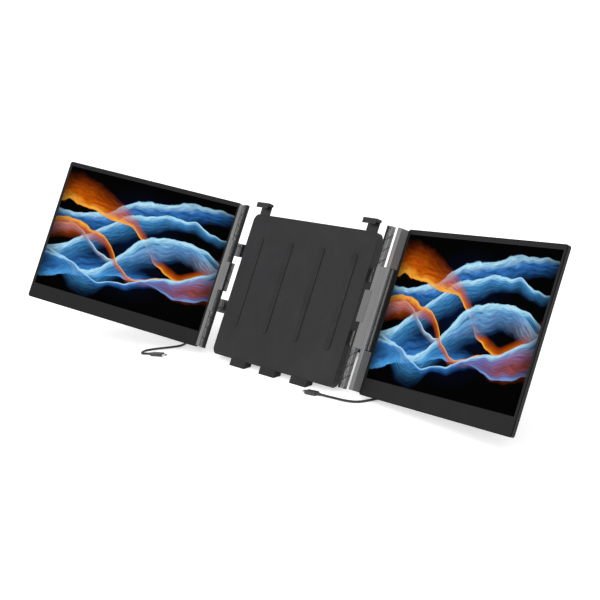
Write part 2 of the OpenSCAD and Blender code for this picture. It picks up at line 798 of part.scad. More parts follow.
// Where each cable runs, from the monitor's plug to the laptop's plug
left_route = [
    [-232.7, -5.2, 24.4], [-221, -0.4, 21.8], [-212.5, 10, 16.5], [-216, 24, 10], [-231, 33, 5.5],
    [-252, 39, 2.5], [-276, 47, 2], [-301, 58, 2], [-323, 66, 2], [-340, 62, 2], [-347, 48, 2],
    [-338, 35, 2], [-320, 31.5, 2], [-296, 32.5, 2], [-274, 29, 2], [-263.5, 13, 2],
    [-269.5, -3, 2], [-279, -17, 2], [-287, -30, 2], [-291, -41.7, 2], [-286.3, -51.8, 2.2],
    [-277.9, -54.4, 2.5], [-267, -49.5, 2.7]
];
right_route = [
    [248.7, 13.1, 14.2], [237, 15, 13], [227, 23, 9], [223, 38, 4], [225, 57, 2], [222, 77, 2],
    [214, 96, 2], [211, 116, 2], [220, 134, 2], [239, 139, 2], [254, 127, 2], [258, 106, 2],
    [256, 84, 2], [250, 62, 2], [241, 40, 2], [234, 19, 2], [224, 0, 2], [205, -7.5, 2],
    [185, -9.5, 2], [166, -11.6, 2.3], [152, -13.2, 2.7]
];
left_plug_at = [-268, -49.9, plug_t / 2];
left_plug_yaw = 23;
right_plug_at = [153, -13, plug_t / 2];
right_plug_yaw = 187;
cable_sides = 8;
steps_each = 2;

// Catmull-Rom point at t from 0 to 1 between route points i and i + 1
function on_route(p, i, t) = let(
    a = p[max(i - 1, 0)], b = p[i], c = p[i + 1], d = p[min(i + 2, len(p) - 1)]
) 0.5 * (2 * b + (c - a) * t + (2 * a - 5 * b + 4 * c - d) * t * t
    + (3 * b - a - 3 * c + d) * t * t * t);

function smooth_route(p) = concat(
    [for (i = [0 : len(p) - 2], k = [0 : steps_each - 1]) on_route(p, i, k / steps_each)],
    [p[len(p) - 1]]
);

function unit(v) = v / norm(v);

// Ring of points round point i of the path, square to its direction
function ring(path, i, r) = let(
    ahead = unit(path[min(i + 1, len(path) - 1)] - path[max(i - 1, 0)]),
    across = unit(cross([0, 0, 1], ahead)),
    over = cross(ahead, across)
) [for (k = [0 : cable_sides - 1])
    path[i] + r * (cos(360 * (k + 0.5) / cable_sides) * across
                   + sin(360 * (k + 0.5) / cable_sides) * over)];

module tube(path, r) {
    n = cable_sides;
    last = len(path) - 1;
    points = [for (i = [0 : last], q = ring(path, i, r)) q];
    sides = [for (i = [0 : last - 1], k = [0 : n - 1])
        [i * n + k, i * n + (k + 1) % n, (i + 1) * n + (k + 1) % n, (i + 1) * n + k]];
    polyhedron(points, concat(
        [[for (k = [0 : n - 1]) n - 1 - k]],
        sides,
        [[for (k = [0 : n - 1]) last * n + k]]
    ), convexity = 10);
}

// Metal tongue of a USB-C plug, along +z from the plug's face
module tongue() {
    color(steel) difference() {
        linear_extrude(tongue_l) rounded(-tongue_w / 2, tongue_w / 2, -tongue_t / 2, tongue_t / 2,
                                         tongue_t / 2 - 0.05);
        translate([0, 0, 1]) linear_extrude(tongue_l) rounded(
            -tongue_w / 2 + tongue_wall, tongue_w / 2 - tongue_wall,
            -tongue_t / 2 + tongue_wall, tongue_t / 2 - tongue_wall, tongue_wall);
    }
}

// Angled plug in the monitor's first port, with its cable leaving towards the hinge
module monitor_plug(setback) {
    y0 = setback + bezel_t + slip / 2;
    top = pocket_h - slip;
    x1 = port_x + plug_w / 2;
    x0 = x1 - plug_l;
    color(black) translate([0, 0, plug_foot]) linear_extrude(top - plug_foot)
        rounded(x0, x1, y0, y0 + plug_t, plug_r);
    color(black) rod_x(x0 - relief_l, x0 + eps, y0 + plug_t / 2, (plug_foot + top) / 2, relief_r);
    translate([port_x, setback + port_y, top - eps]) tongue();
}

// Straight plug for the laptop: relief at the origin, tongue towards +x
module laptop_plug() {
    color(black) rod_x(0, relief_l + eps, 0, 0, relief_r);
    color(black) translate([relief_l, 0, 0]) rotate([90, 0, 90]) linear_extrude(plug_l)
        rounded(-plug_w / 2, plug_w / 2, -plug_t / 2, plug_t / 2, plug_r);
    translate([relief_l + plug_l - eps, 0, 0]) rotate([90, 0, 90]) tongue();
}

module left_cable() { color(black) tube(smooth_route(left_route), cable_d / 2); }
module right_cable() { color(black) tube(smooth_route(right_route), cable_d / 2); }
module left_monitor_plug() { wing(-1) monitor_plug(left_setback); }
module right_monitor_plug() { wing(1) monitor_plug(right_setback); }
module left_laptop_plug() { translate(left_plug_at) rotate([0, 0, left_plug_yaw]) laptop_plug(); }
module right_laptop_plug() { translate(right_plug_at) rotate([0, 0, right_plug_yaw]) laptop_plug(); }

front_plate();
rear_shell();
lid_pads();
rail_guides();
frame_feet();
frame_screws();
stand_pin();
stand_leg();
stand_foot();
left_hook();
left_hook_pad();
right_hook();
right_hook_pad();
left_strip();
left_rails();
left_knuckle();
left_hinge_pins();
left_clip_pad();
left_strip_screws();
right_strip();
right_rails();
right_knuckle();
right_hinge_pins();
right_clip_pad();
right_strip_screws();
left_spine();
left_posts();
left_bezel();
left_screen();
left_back_cover();
left_board();
left_ports();
left_speakers();
left_power_button();
left_menu_rocker();
left_case_screws();
right_spine();
right_posts();
right_bezel();
right_screen();
right_back_cover();
right_board();
right_ports();
right_speakers();
right_power_button();
right_menu_rocker();
right_case_screws();
left_cable();
left_monitor_plug();
left_laptop_plug();
right_cable();
right_monitor_plug();
right_laptop_plug();
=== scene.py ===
# %% [markdown]
# # Laptop screen extender
# A back frame leans behind a laptop's lid and carries one hinged monitor on each side.
# The packed CAD part is the skeleton: its nodes keep their shapes, and this lesson gives them finishes,
# softened edges, lit screens, moulded plugs and leads. Lengths are metres, +Z is up, +Y is to the rear.

import json
import math

import bmesh
import bpy
from mathutils import Matrix, Vector


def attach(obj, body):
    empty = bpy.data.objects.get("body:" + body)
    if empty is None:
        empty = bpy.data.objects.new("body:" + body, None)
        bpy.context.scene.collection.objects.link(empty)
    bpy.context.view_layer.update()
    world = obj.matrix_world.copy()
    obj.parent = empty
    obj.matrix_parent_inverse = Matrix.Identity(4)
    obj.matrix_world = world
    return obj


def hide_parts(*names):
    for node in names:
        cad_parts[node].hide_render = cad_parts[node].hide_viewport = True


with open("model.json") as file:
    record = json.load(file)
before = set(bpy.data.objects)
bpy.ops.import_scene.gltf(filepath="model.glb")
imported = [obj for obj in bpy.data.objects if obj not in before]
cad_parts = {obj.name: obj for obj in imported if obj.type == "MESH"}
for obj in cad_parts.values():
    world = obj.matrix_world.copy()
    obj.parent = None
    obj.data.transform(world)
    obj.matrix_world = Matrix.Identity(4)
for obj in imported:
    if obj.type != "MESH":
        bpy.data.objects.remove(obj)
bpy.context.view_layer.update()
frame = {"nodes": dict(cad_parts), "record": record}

# %% Helper that puts new data into the scene
def put_in_scene(name, data):
    """A new object in the scene for a mesh, a light or a camera."""
    item = bpy.data.objects.new(name, data)
    bpy.context.scene.collection.objects.link(item)
    return item


# %% [markdown]
# ## The viewpoint
# A product shot is taken with a long lens, from a little above and from the right.
# A camera can be aimed at a target, or set by its place and three angles. The angles are given here,
# because the camera also rolls a little, which aiming alone can't do. The lens is worked out from its
# focal length in picture widths, which is what sets how strong the perspective is.

# %% Camera
SENSOR_MM, FOCAL_IN_WIDTHS = 36.0, 2.462
CAMERA_PLACE = (1.81091, -1.21802, 0.65824)
CAMERA_TILT, CAMERA_ROLL, CAMERA_HEADING = 75.9070, 5.9235, 52.9256    # degrees
CAMERA_REACH = 300.0
camera_data = bpy.data.cameras.new("studio_camera")
camera_data.sensor_width = SENSOR_MM
camera_data.lens = SENSOR_MM * FOCAL_IN_WIDTHS
camera_data.clip_end = CAMERA_REACH
camera = put_in_scene("studio_camera", camera_data)
camera.location = CAMERA_PLACE
camera.rotation_euler = [math.radians(turn) for turn in (CAMERA_TILT, CAMERA_ROLL, CAMERA_HEADING)]
bpy.context.scene.camera = camera
print("lens mm:", round(camera_data.lens, 2))

# %% [markdown]
# ## Places on the object
# The lid plane leans back, and each monitor turns on its own hinge line in that plane.
# Two matrices per side turn drawing-board numbers in millimetres into places in the room:
# x runs out from the hinge, y to the rear, z up the hinge. The left side is a mirror image.
# Every place could be given in room coordinates instead, but with these matrices a number means the
# same here as in the CAD source: a size in millimetres, or an angle in degrees.

# %% Drawing-board coordinates
MM = 0.001
LEAN = math.radians(29.2)
LIFT = 14.186
LID = Matrix.Scale(MM, 4) @ Matrix.Translation((0, 0, LIFT)) @ Matrix.Rotation(-LEAN, 4, "X")
MIRROR = Matrix.Diagonal((-1, 1, 1, 1))
HINGE_X, HINGE_Y = {"left": 193.9, "right": 207.3}, 1.0
FORWARD = {"left": 25.7, "right": 8.2}
SETBACK = {"left": 3.0, "right": 11.9}
SIDES = ("left", "right")
SIDE_PLANE = {"left": LID @ MIRROR, "right": LID}
MONITOR = {
    side: SIDE_PLANE[side] @ Matrix.Translation((HINGE_X[side], HINGE_Y, 0))
    @ Matrix.Rotation(-math.radians(FORWARD[side]), 4, "Z")
    for side in SIDES
}
CASE_W, CASE_H, CASE_X = 355.1, 248.0, 4.0
print("left hinge foot:", [round(v, 4) for v in MONITOR["left"] @ Vector((0, 0, 0))])

# %% [markdown]
# ## Making pieces
# Every new piece is a mesh drawn in millimetres, moved to its place once, and tied to the body it moves with.
# A small helper does this, so that a piece's own cell holds nothing but its shape.

# %% Helper that finishes a mesh piece
def finish_mesh(name, bm, place, body, material=None, smooth=True):
    """Turns a bmesh in millimetres into a piece of the object."""
    bmesh.ops.transform(bm, matrix=place, verts=bm.verts)
    bmesh.ops.recalc_face_normals(bm, faces=bm.faces)
    mesh = bpy.data.meshes.new(name)
    bm.to_mesh(mesh)
    bm.free()
    piece = put_in_scene(name, mesh)
    if smooth:
        mesh.shade_smooth()
    if material:
        mesh.materials.append(material)
    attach(piece, body)
    return piece


def add_modifier(piece, kind, **values):
    """Adds one modifier and sets its values."""
    modifier = piece.modifiers.new(kind.lower(), kind)
    for key, value in values.items():
        setattr(modifier, key, value)


print("helpers ready: finish_mesh and add_modifier")

# %% [markdown]
# ## The two leads
# Each monitor has one thin round lead from an angled plug in its port pocket to the laptop.
# A lead could be a bezier curve with a bevel, but its length would then have to be measured afterwards.
# It is drawn instead as a line of listed points with a smooth curve through them and a tube round
# it, since that line is also its length. The spare length lies in a loose bend behind the monitor.

# %% Route points of the leads, in metres
LEAD_DIAMETER, LEAD_SIDES, STEPS_BETWEEN_POINTS = 0.0036, 14, 8
LEAD_ROUTES = {
    "left": [
        (-0.2327, -0.0052, 0.0244), (-0.2210, -0.0004, 0.0218), (-0.2125, 0.0100, 0.0165),
        (-0.2160, 0.0240, 0.0100), (-0.2310, 0.0330, 0.0055), (-0.2520, 0.0390, 0.0025),
        (-0.2760, 0.0470, 0.0020), (-0.3010, 0.0580, 0.0020), (-0.3230, 0.0660, 0.0020),
        (-0.3400, 0.0620, 0.0020), (-0.3470, 0.0480, 0.0020), (-0.3380, 0.0350, 0.0020),
        (-0.3200, 0.0315, 0.0020), (-0.2960, 0.0325, 0.0020), (-0.2740, 0.0290, 0.0020),
        (-0.2635, 0.0130, 0.0020), (-0.2695, -0.0030, 0.0020), (-0.2790, -0.0170, 0.0020),
        (-0.2870, -0.0300, 0.0020), (-0.2910, -0.0417, 0.0020), (-0.2863, -0.0518, 0.0022),
        (-0.2779, -0.0544, 0.0025), (-0.2670, -0.0495, 0.0027),
    ],
    "right": [
        (0.2487, 0.0131, 0.0142), (0.2370, 0.0150, 0.0130), (0.2270, 0.0230, 0.0090),
        (0.2230, 0.0380, 0.0040), (0.2250, 0.0570, 0.0020), (0.2220, 0.0770, 0.0020),
        (0.2140, 0.0960, 0.0020), (0.2110, 0.1160, 0.0020), (0.2200, 0.1340, 0.0020),
        (0.2390, 0.1390, 0.0020), (0.2540, 0.1270, 0.0020), (0.2580, 0.1060, 0.0020),
        (0.2560, 0.0840, 0.0020), (0.2500, 0.0620, 0.0020), (0.2410, 0.0400, 0.0020),
        (0.2340, 0.0190, 0.0020), (0.2240, 0.0000, 0.0020), (0.2050, -0.0075, 0.0020),
        (0.1850, -0.0095, 0.0020), (0.1660, -0.0116, 0.0023), (0.1520, -0.0132, 0.0027),
    ],
}
for side in SIDES:
    print(side, "route points:", len(LEAD_ROUTES[side]))

# %% Smooth curve through the route points
def smooth_line(points, steps):
    """Catmull-Rom line through the points, with that many steps to each stretch."""
    p = [Vector(q) for q in points]
    line = []
    for i in range(len(p) - 1):
        a, b, c, d = p[max(i - 1, 0)], p[i], p[i + 1], p[min(i + 2, len(p) - 1)]
        for k in range(steps):
            t = k / steps
            line.append(0.5 * (2 * b + (c - a) * t + (2 * a - 5 * b + 4 * c - d) * t * t
                               + (3 * b - a - 3 * c + d) * t * t * t))
    return line + [p[-1]]


def line_length(line):
    """Length along a line of points."""
    return sum((b - a).length for a, b in zip(line, line[1:]))


def tube_along(bm, line, radius, around):
    """Closed round tube along a line of points that never runs straight up."""
    rings = []
    for i, place in enumerate(line):
        ahead = (line[min(i + 1, len(line) - 1)] - line[max(i - 1, 0)]).normalized()
        across = ahead.cross(Vector((0, 0, 1))).normalized()
        over = across.cross(ahead)
        rings.append([
            bm.verts.new(place + radius * (math.cos(turn) * across + math.sin(turn) * over))
            for turn in (2 * math.pi * k / around for k in range(around))])
    for first, second in zip(rings, rings[1:]):
        for k in range(around):
            bm.faces.new((first[k], first[k - 1], second[k - 1], second[k]))
    bm.faces.new(rings[0])
    bm.faces.new(rings[-1][::-1])


print("a straight test line of 3 points is", line_length([Vector((k, 0, 0)) for k in range(3)]), "long")

# %% Draw both leads
leads, lead_lines = {}, {}
for side in SIDES:
    lead_lines[side] = smooth_line(LEAD_ROUTES[side], STEPS_BETWEEN_POINTS)
    bm = bmesh.new()
    tube_along(bm, lead_lines[side], LEAD_DIAMETER / 2, LEAD_SIDES)
    leads[side] = finish_mesh(side + "_lead", bm, Matrix.Identity(4), side + "_monitor")
    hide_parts(side + "_cable")
    print(side, "lead is", round(line_length(lead_lines[side]), 4), "m long")

# %% [markdown]
# ## Plugs
# A lead's plug is a soft moulding over a metal shell. Its body is a rounded block with a shallow grip groove
# round it, its strain relief is a short cone cut by rings so that it bends evenly, and its tongue is a flat
# tube with round ends. The block is lofted from rounded cross-sections, because sections give the crowned
# ends of a real moulding and a beveled cube does not.

# %% Loft helper: rounded sections joined into one closed skin
def rounded_ring(width, height, radius, corner_steps=5):
    """Points of a rounded rectangle round the origin."""
    radius = min(radius, width / 2 - 1e-4, height / 2 - 1e-4)
    ring = []
    for quarter, (sx, sy) in enumerate(((1, 1), (-1, 1), (-1, -1), (1, -1))):
        for k in range(corner_steps + 1):
            angle = math.radians(90 * (quarter + k / corner_steps))
            ring.append((sx * (width / 2 - radius) + radius * math.cos(angle),
                         sy * (height / 2 - radius) + radius * math.sin(angle)))
    return ring


def loft(bm, sections, place):
    """Joins sections (distance, width, height, radius) along +x into a closed skin."""
    rings = []
    for distance, width, height, radius in sections:
        rings.append([bm.verts.new(place @ Vector((distance, a, b)))
                      for a, b in rounded_ring(width, height, radius)])
    for first, second in zip(rings, rings[1:]):
        for k in range(len(first)):
            n = (k + 1) % len(first)
            bm.faces.new((first[k], first[n], second[n], second[k]))
    bm.faces.new(rings[0][::-1])
    bm.faces.new(rings[-1])


print("corners of a rounded ring:", len(rounded_ring(2.0, 1.0, 0.3)))

# %% Plug moulding: body sections, ringed strain relief and metal tongue
PLUG_L, PLUG_W, PLUG_T = 22.0, 11.0, 5.4
RELIEF_L, RELIEF_RINGS, RING_PITCH, RING_GROWTH = 7.0, 4, 1.35, 0.26
FIRST_RING_W, FULLY_ROUND = 4.15, 5.0
TONGUE_L, TONGUE_W, TONGUE_T, TONGUE_WALL = 6.4, 8.0, 2.3, 0.4


def plug_body(bm, place, width):
    """Crowned block with a grip groove, along +x from its cable end."""
    loft(bm, [
        # distance, width, height, corner radius
        (0.0, width - 1.6, PLUG_T - 1.4, 1.2),
        (0.35, width - 0.6, PLUG_T - 0.5, 1.5),
        (1.0, width, PLUG_T, 1.7),
        (3.0, width, PLUG_T, 1.7),
        (3.25, width - 0.6, PLUG_T - 0.6, 1.5),
        (3.75, width - 0.6, PLUG_T - 0.6, 1.5),
        (4.0, width, PLUG_T, 1.7),
        (PLUG_L - 1.2, width, PLUG_T, 1.7),
        (PLUG_L - 0.5, width - 0.2, PLUG_T - 0.2, 1.6),
        (PLUG_L, width - 0.9, PLUG_T - 0.9, 1.3),
    ], place)


def relief(bm, place):
    """Strain relief that tapers back to the cable, cut by grooves between its rings."""
    sections = [(-RELIEF_L, 4.0, 4.0, 2.0)]
    for k in range(RELIEF_RINGS + 1):
        start, wide = 0.5 - RELIEF_L + k * RING_PITCH, FIRST_RING_W + k * RING_GROWTH
        profile = [(0, 0), (0.75, 0.1)]                # a ring, as distances along and changes in width
        if k < RELIEF_RINGS:
            profile += [(0.85, -0.55), (1.25, -0.5)]   # the groove after it
        sections += [(start + along, wide + more, wide + more, FULLY_ROUND) for along, more in profile]
    sections.append((0.6, 5.15, 5.15, FULLY_ROUND))
    loft(bm, sections, place)


def tongue(bm, place):
    """Flat metal tube of a plug, with an open mouth."""
    mouth_w, mouth_t = TONGUE_W - 2 * TONGUE_WALL, TONGUE_T - 2 * TONGUE_WALL
    loft(bm, [
        (-0.4, TONGUE_W, TONGUE_T, 1.1),
        (TONGUE_L - 0.2, TONGUE_W, TONGUE_T, 1.1),
        (TONGUE_L, TONGUE_W - 0.2, TONGUE_T - 0.2, 1.0),
        (TONGUE_L, mouth_w, mouth_t, 0.7),
        (TONGUE_L - 5.0, mouth_w, mouth_t, 0.7),
    ], place)


print("plug body mm:", PLUG_L, PLUG_W, PLUG_T)

# %% Helper that makes a plug's moulding and its metal tongue
def plug_pair(name, body, room, block_place, width, tongue_place):
    """Both pieces of one plug, drawn in millimetres at their places; room turns these into metres."""
    bm = bmesh.new()
    plug_body(bm, block_place, width)
    relief(bm, block_place)
    moulding = finish_mesh(name + "_moulding", bm, room, body)
    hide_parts(name)
    bm = bmesh.new()
    tongue(bm, tongue_place)
    return [moulding, finish_mesh(name + "_shell", bm, room, body, smooth=False)]


print("relief rings:", RELIEF_RINGS, "tongue mm:", TONGUE_L, TONGUE_W, TONGUE_T)

PLUG_AT = {"left": ((-268.0, -49.9, 2.7), 23.0), "right": ((153.0, -13.0, 2.7), 187.0)}
PORT_X, PORT_TOP, PORT_FOOT, POCKET_SETBACK = 62.0, 11.7, 1.0, 1.65
lead_plugs = {}
for side in SIDES:
    at, heading = PLUG_AT[side]
    on_desk = (Matrix.Translation(at) @ Matrix.Rotation(math.radians(heading), 4, "Z")
               @ Matrix.Translation((RELIEF_L, 0, 0)))
    depth = SETBACK[side] + POCKET_SETBACK + PLUG_T / 2
    in_pocket = (Matrix.Translation((PORT_X + PLUG_W / 2 - PLUG_L, depth, (PORT_FOOT + PORT_TOP) / 2))
                 @ Matrix.Rotation(math.radians(90), 4, "X"))
    into_port = Matrix.Translation((PORT_X, depth, PORT_TOP)) @ Matrix.Rotation(math.radians(-90), 4, "Y")
    lead_plugs[side] = plug_pair(
        side + "_laptop_plug", side + "_monitor", Matrix.Scale(MM, 4),
        on_desk, PLUG_W, on_desk @ Matrix.Translation((PLUG_L, 0, 0)))
    lead_plugs[side] += plug_pair(
        side + "_monitor_plug", side + "_monitor", MONITOR[side],
        in_pocket, PORT_TOP - PORT_FOOT, into_port)
    print(side, "lead carries", [piece.name for piece in lead_plugs[side]])

# %% [markdown]
# ## Floor and light
# A plain white sweep with soft light from above gives the even white ground of a catalogue page.
# A broad sun lights the floor evenly at any distance, and two long soft boxes draw the bright lines
# that tell the eye a barrel is round. The world adds the rest, so that no shadow is black, and the sweep
# glows a little itself, as a light table does, which keeps the ground white close to the object.
# The camera sees the world a little brighter than the object does, so that ground and backdrop match.

# %% Sun and soft boxes
def area_light(name, place, target, width, height, power):
    """A soft box that faces its target."""
    data = bpy.data.lights.new(name, "AREA")
    data.shape = "RECTANGLE"
    data.size, data.size_y, data.energy = width, height, power
    light = put_in_scene(name, data)
    light.location = place
    light.rotation_mode = "QUATERNION"
    light.rotation_quaternion = (Vector(target) - Vector(place)).to_track_quat("-Z", "Y")


SUN_POWER, SUN_WIDTH, SUN_TURN = 0.6, math.radians(70), (math.radians(26), math.radians(20), 0)
OBJECT_MIDDLE_Z = 0.12
bpy.context.scene.view_settings.view_transform = "Standard"
sun_data = bpy.data.lights.new("overhead_sun", "SUN")
sun_data.energy, sun_data.angle = SUN_POWER, SUN_WIDTH
sun = put_in_scene("overhead_sun", sun_data)
sun.rotation_euler = SUN_TURN
area_light("soft_box_left", place=(-1.2, -1.9, 1.5), target=(0.0, 0.0, OBJECT_MIDDLE_Z),
           width=0.8, height=1.6, power=8)
area_light("soft_box_right", place=(2.3, -0.9, 1.1), target=(0.1, 0.0, OBJECT_MIDDLE_Z),
           width=0.7, height=1.4, power=16)

# %% World
WORLD_GLOW, EXTRA_GLOW_SEEN = 0.91, 0.09
world = bpy.data.worlds.new("white_room")
world.use_nodes = True
world_tree = world.node_tree
background = world_tree.nodes["Background"]
background.inputs["Color"].default_value = (1.0, 1.0, 1.0, 1.0)
seen = world_tree.nodes.new("ShaderNodeLightPath").outputs["Is Camera Ray"]
strength = world_tree.nodes.new("ShaderNodeMath")
strength.operation = "MULTIPLY_ADD"
strength.inputs[1].default_value, strength.inputs[2].default_value = EXTRA_GLOW_SEEN, WORLD_GLOW
world_tree.links.new(seen, strength.inputs[0])
world_tree.links.new(strength.outputs[0], background.inputs["Strength"])
bpy.context.scene.world = world
print("world strength:", WORLD_GLOW, "and seen:", WORLD_GLOW + EXTRA_GLOW_SEEN)

# %% Floor
FLOOR_HALF, FLOOR_DROP, FLOOR_TONE, FLOOR_GLOW = 120.0, 0.0002, 0.93, 0.34
bm = bmesh.new()
bmesh.ops.create_grid(bm, x_segments=1, y_segments=1, size=FLOOR_HALF)
floor_mesh = bpy.data.meshes.new("white_floor")
bm.to_mesh(floor_mesh)
bm.free()
floor = put_in_scene("white_floor", floor_mesh)
floor.location = (0, 0, -FLOOR_DROP)
floor_material = bpy.data.materials.new("white_paper")
floor_material.use_nodes = True
floor_shader = floor_material.node_tree.nodes["Principled BSDF"]
floor_shader.inputs["Base Color"].default_value = (FLOOR_TONE, FLOOR_TONE, FLOOR_TONE, 1.0)
floor_shader.inputs["Roughness"].default_value = 0.9
floor_shader.inputs["Specular IOR Level"].default_value = 0.1
floor_shader.inputs["Emission Color"].default_value = (1.0, 1.0, 1.0, 1.0)
floor_shader.inputs["Emission Strength"].default_value = FLOOR_GLOW
floor_mesh.materials.append(floor_material)
print("floor is", 2 * FLOOR_HALF, "m wide and lies", FLOOR_DROP / MM, "mm under the object")

# %% [markdown]
# ## Shader building blocks
# Real surfaces are never one flat tone. Four effects come back on almost every piece here: the drawn grain
# of brushed metal, the fine orange-peel grain of moulded plastic, soft patches left by hands, and a thin
# lay of dust. Each is a node group, built once, and a material only sets how strong it is.
# Nodes are added by a small class, because a long network is easier to read as nested calls.

# %% Class that adds and links nodes in one line each
class Nodes:
    """Adds nodes to a tree and links them in one line each."""

    def __init__(self, tree):
        self.tree = tree

    def put(self, socket, value):
        """Links another node's output to a socket, or sets the socket's own value."""
        if isinstance(value, bpy.types.NodeSocket):
            self.tree.links.new(value, socket)
        elif value is not None:
            socket.default_value = value

    def add(self, kind, settings=None, **values):
        """A node with its settings, and with values for the sockets that are named."""
        node = self.tree.nodes.new(kind)
        for key, value in (settings or {}).items():
            setattr(node, key, value)
        for key, value in values.items():
            self.put(node.inputs[key.replace("_", " ")], value)
        return node

    def math(self, operation, a, b=None, c=None, clamp=False):
        """One sum, for up to three values."""
        node = self.add("ShaderNodeMath", {"operation": operation, "use_clamp": clamp})
        for socket, value in zip(node.inputs, (a, b, c)):
            self.put(socket, value)
        return node.outputs[0]

    def vector(self, operation, first, second):
        """One vector sum; second is a vector, or a number where the sum is a scaling."""
        node = self.add("ShaderNodeVectorMath", {"operation": operation})
        self.put(node.inputs[0], first)
        self.put(node.inputs["Scale" if operation == "SCALE" else 1], second)
        return node.outputs["Value" if operation == "DOT_PRODUCT" else "Vector"]

    def mix(self, factor, a, b):
        """Colour a where the factor is 0, and b where it is 1."""
        node = self.add("ShaderNodeMix", {"data_type": "RGBA"})
        for k, value in ((0, factor), (6, a), (7, b)):
            self.put(node.inputs[k], value)
        return node.outputs[2]

    def spread(self, value, low, high, to_low=0.0, to_high=1.0, smooth=False):
        """Maps the range from low to high onto another one, and stops at its ends."""
        shape = "SMOOTHSTEP" if smooth else "LINEAR"
        node = self.add("ShaderNodeMapRange", {"interpolation_type": shape, "clamp": True})
        for k, v in enumerate((value, low, high, to_low, to_high)):
            self.put(node.inputs[k], v)
        return node.outputs[0]


print("node helpers:", [name for name in vars(Nodes) if not name.startswith("_")])

# %% Helper that starts a node group with named sockets
def new_group(name, inputs, outputs):
    """A shader node group; inputs and outputs are (name, kind, default)."""
    group = bpy.data.node_groups.new(name, "ShaderNodeTree")
    for label, kind, default in inputs:
        socket = group.interface.new_socket(label, in_out="INPUT", socket_type="NodeSocket" + kind)
        if default is not None:
            socket.default_value = default
    for label, kind in outputs:
        group.interface.new_socket(label, in_out="OUTPUT", socket_type="NodeSocket" + kind)
    nodes = Nodes(group)
    start = group.nodes.new("NodeGroupInput")
    end = group.nodes.new("NodeGroupOutput")
    return group, nodes, start.outputs, end.inputs


def grey(v):
    """A neutral colour."""
    return (v, v, v, 1.0)


print("mid grey:", grey(0.18))

# %% Group: brushed grain, drawn out along the hinge direction
brushed, n, given, out = new_group(
    "brushed_grain",
    [("Vector", "Vector", None), ("Lines per metre", "Float", 900.0), ("Contrast", "Float", 0.1)],
    [("Tone", "Float"), ("Height", "Float")])
upright = n.add("ShaderNodeMapping", Vector=given["Vector"], Rotation=(LEAN, 0, 0)).outputs[0]
stretched = n.vector("MULTIPLY", upright, (1.0, 1.0, 0.02))
fine = n.add("ShaderNodeTexNoise", Vector=stretched, Scale=given["Lines per metre"],
             Detail=3.0, Roughness=0.6)
broad = n.add("ShaderNodeTexNoise", Vector=stretched,
              Scale=n.math("MULTIPLY", given["Lines per metre"], 0.22), Detail=2.0)
lines = n.math("ADD", n.math("MULTIPLY", fine.outputs["Fac"], 0.6),
               n.math("MULTIPLY", broad.outputs["Fac"], 0.4))
n.put(out["Tone"], n.math("MULTIPLY_ADD", n.math("SUBTRACT", lines, 0.5), given["Contrast"], 1.0))
n.put(out["Height"], lines)
print("group:", brushed.name)

# %% Group: fine grain of a moulded or painted surface
grain, n, given, out = new_group(
    "moulded_grain",
    [("Vector", "Vector", None), ("Grain per metre", "Float", 2500.0)],
    [("Tone", "Float"), ("Height", "Float")])
cells = n.add("ShaderNodeTexVoronoi", {"feature": "SMOOTH_F1"}, Vector=given["Vector"],
              Scale=given["Grain per metre"])
soft_noise = n.add("ShaderNodeTexNoise", Vector=given["Vector"],
                   Scale=n.math("MULTIPLY", given["Grain per metre"], 1.7), Detail=2.0)
height = n.math("ADD", n.math("MULTIPLY", cells.outputs["Distance"], 0.7),
                n.math("MULTIPLY", soft_noise.outputs["Fac"], 0.5))
n.put(out["Height"], height)
n.put(out["Tone"], n.math("MULTIPLY_ADD", n.math("SUBTRACT", height, 0.5), 0.25, 1.0))
print("group:", grain.name)

# %% Group: handling marks, as broad soft patches
handling, n, given, out = new_group(
    "handling_marks",
    [("Vector", "Vector", None), ("Patch per metre", "Float", 18.0)],
    [("Patches", "Float")])
patch = n.add("ShaderNodeTexNoise", Vector=given["Vector"], Scale=given["Patch per metre"],
              Detail=4.0, Roughness=0.55, Distortion=0.4)
n.put(out["Patches"], n.spread(patch.outputs["Fac"], 0.42, 0.66, smooth=True))
print("group:", handling.name)

# %% Group: dust that settles on faces that look up
dusting, n, given, out = new_group(
    "settled_dust",
    [("Vector", "Vector", None), ("Normal", "Vector", None), ("Amount", "Float", 0.2)],
    [("Dust", "Float")])
parts = n.add("ShaderNodeSeparateXYZ", Vector=given["Normal"])
facing_up = n.spread(parts.outputs["Z"], 0.3, 1.0, smooth=True)
specks = n.add("ShaderNodeTexNoise", Vector=given["Vector"], Scale=420.0, Detail=4.0)
drifts = n.add("ShaderNodeTexNoise", Vector=given["Vector"], Scale=26.0, Detail=2.0)
cloudy = n.math("MULTIPLY", n.spread(specks.outputs["Fac"], 0.35, 0.75),
                n.spread(drifts.outputs["Fac"], 0.3, 0.7))
n.put(out["Dust"], n.math("MULTIPLY", n.math("MULTIPLY", facing_up, given["Amount"]), cloudy))
print("group:", dusting.name)

# %% [markdown]
# ## Finishes
# One function lays the effects together: a base tone, its grain, the marks of hands and a little dust.
# What is the same all over a surface is a plain number on the shader, and only what changes over
# the surface is wired in, so that each finish stays light and can be baked.

# %% Helpers that start a material and place a group in it
def start_material(name):
    """A new material, the helper for its nodes, and its shader."""
    material = bpy.data.materials.new(name)
    material.use_nodes = True
    return material, Nodes(material.node_tree), material.node_tree.nodes["Principled BSDF"]


def use_group(nodes, group, **links):
    """Places a group in a material and feeds its inputs."""
    node = nodes.tree.nodes.new("ShaderNodeGroup")
    node.node_tree = group
    for key, value in links.items():
        nodes.put(node.inputs[key.replace("_", " ")], value)
    return node.outputs


print("groups to use:", [group.name for group in bpy.data.node_groups])

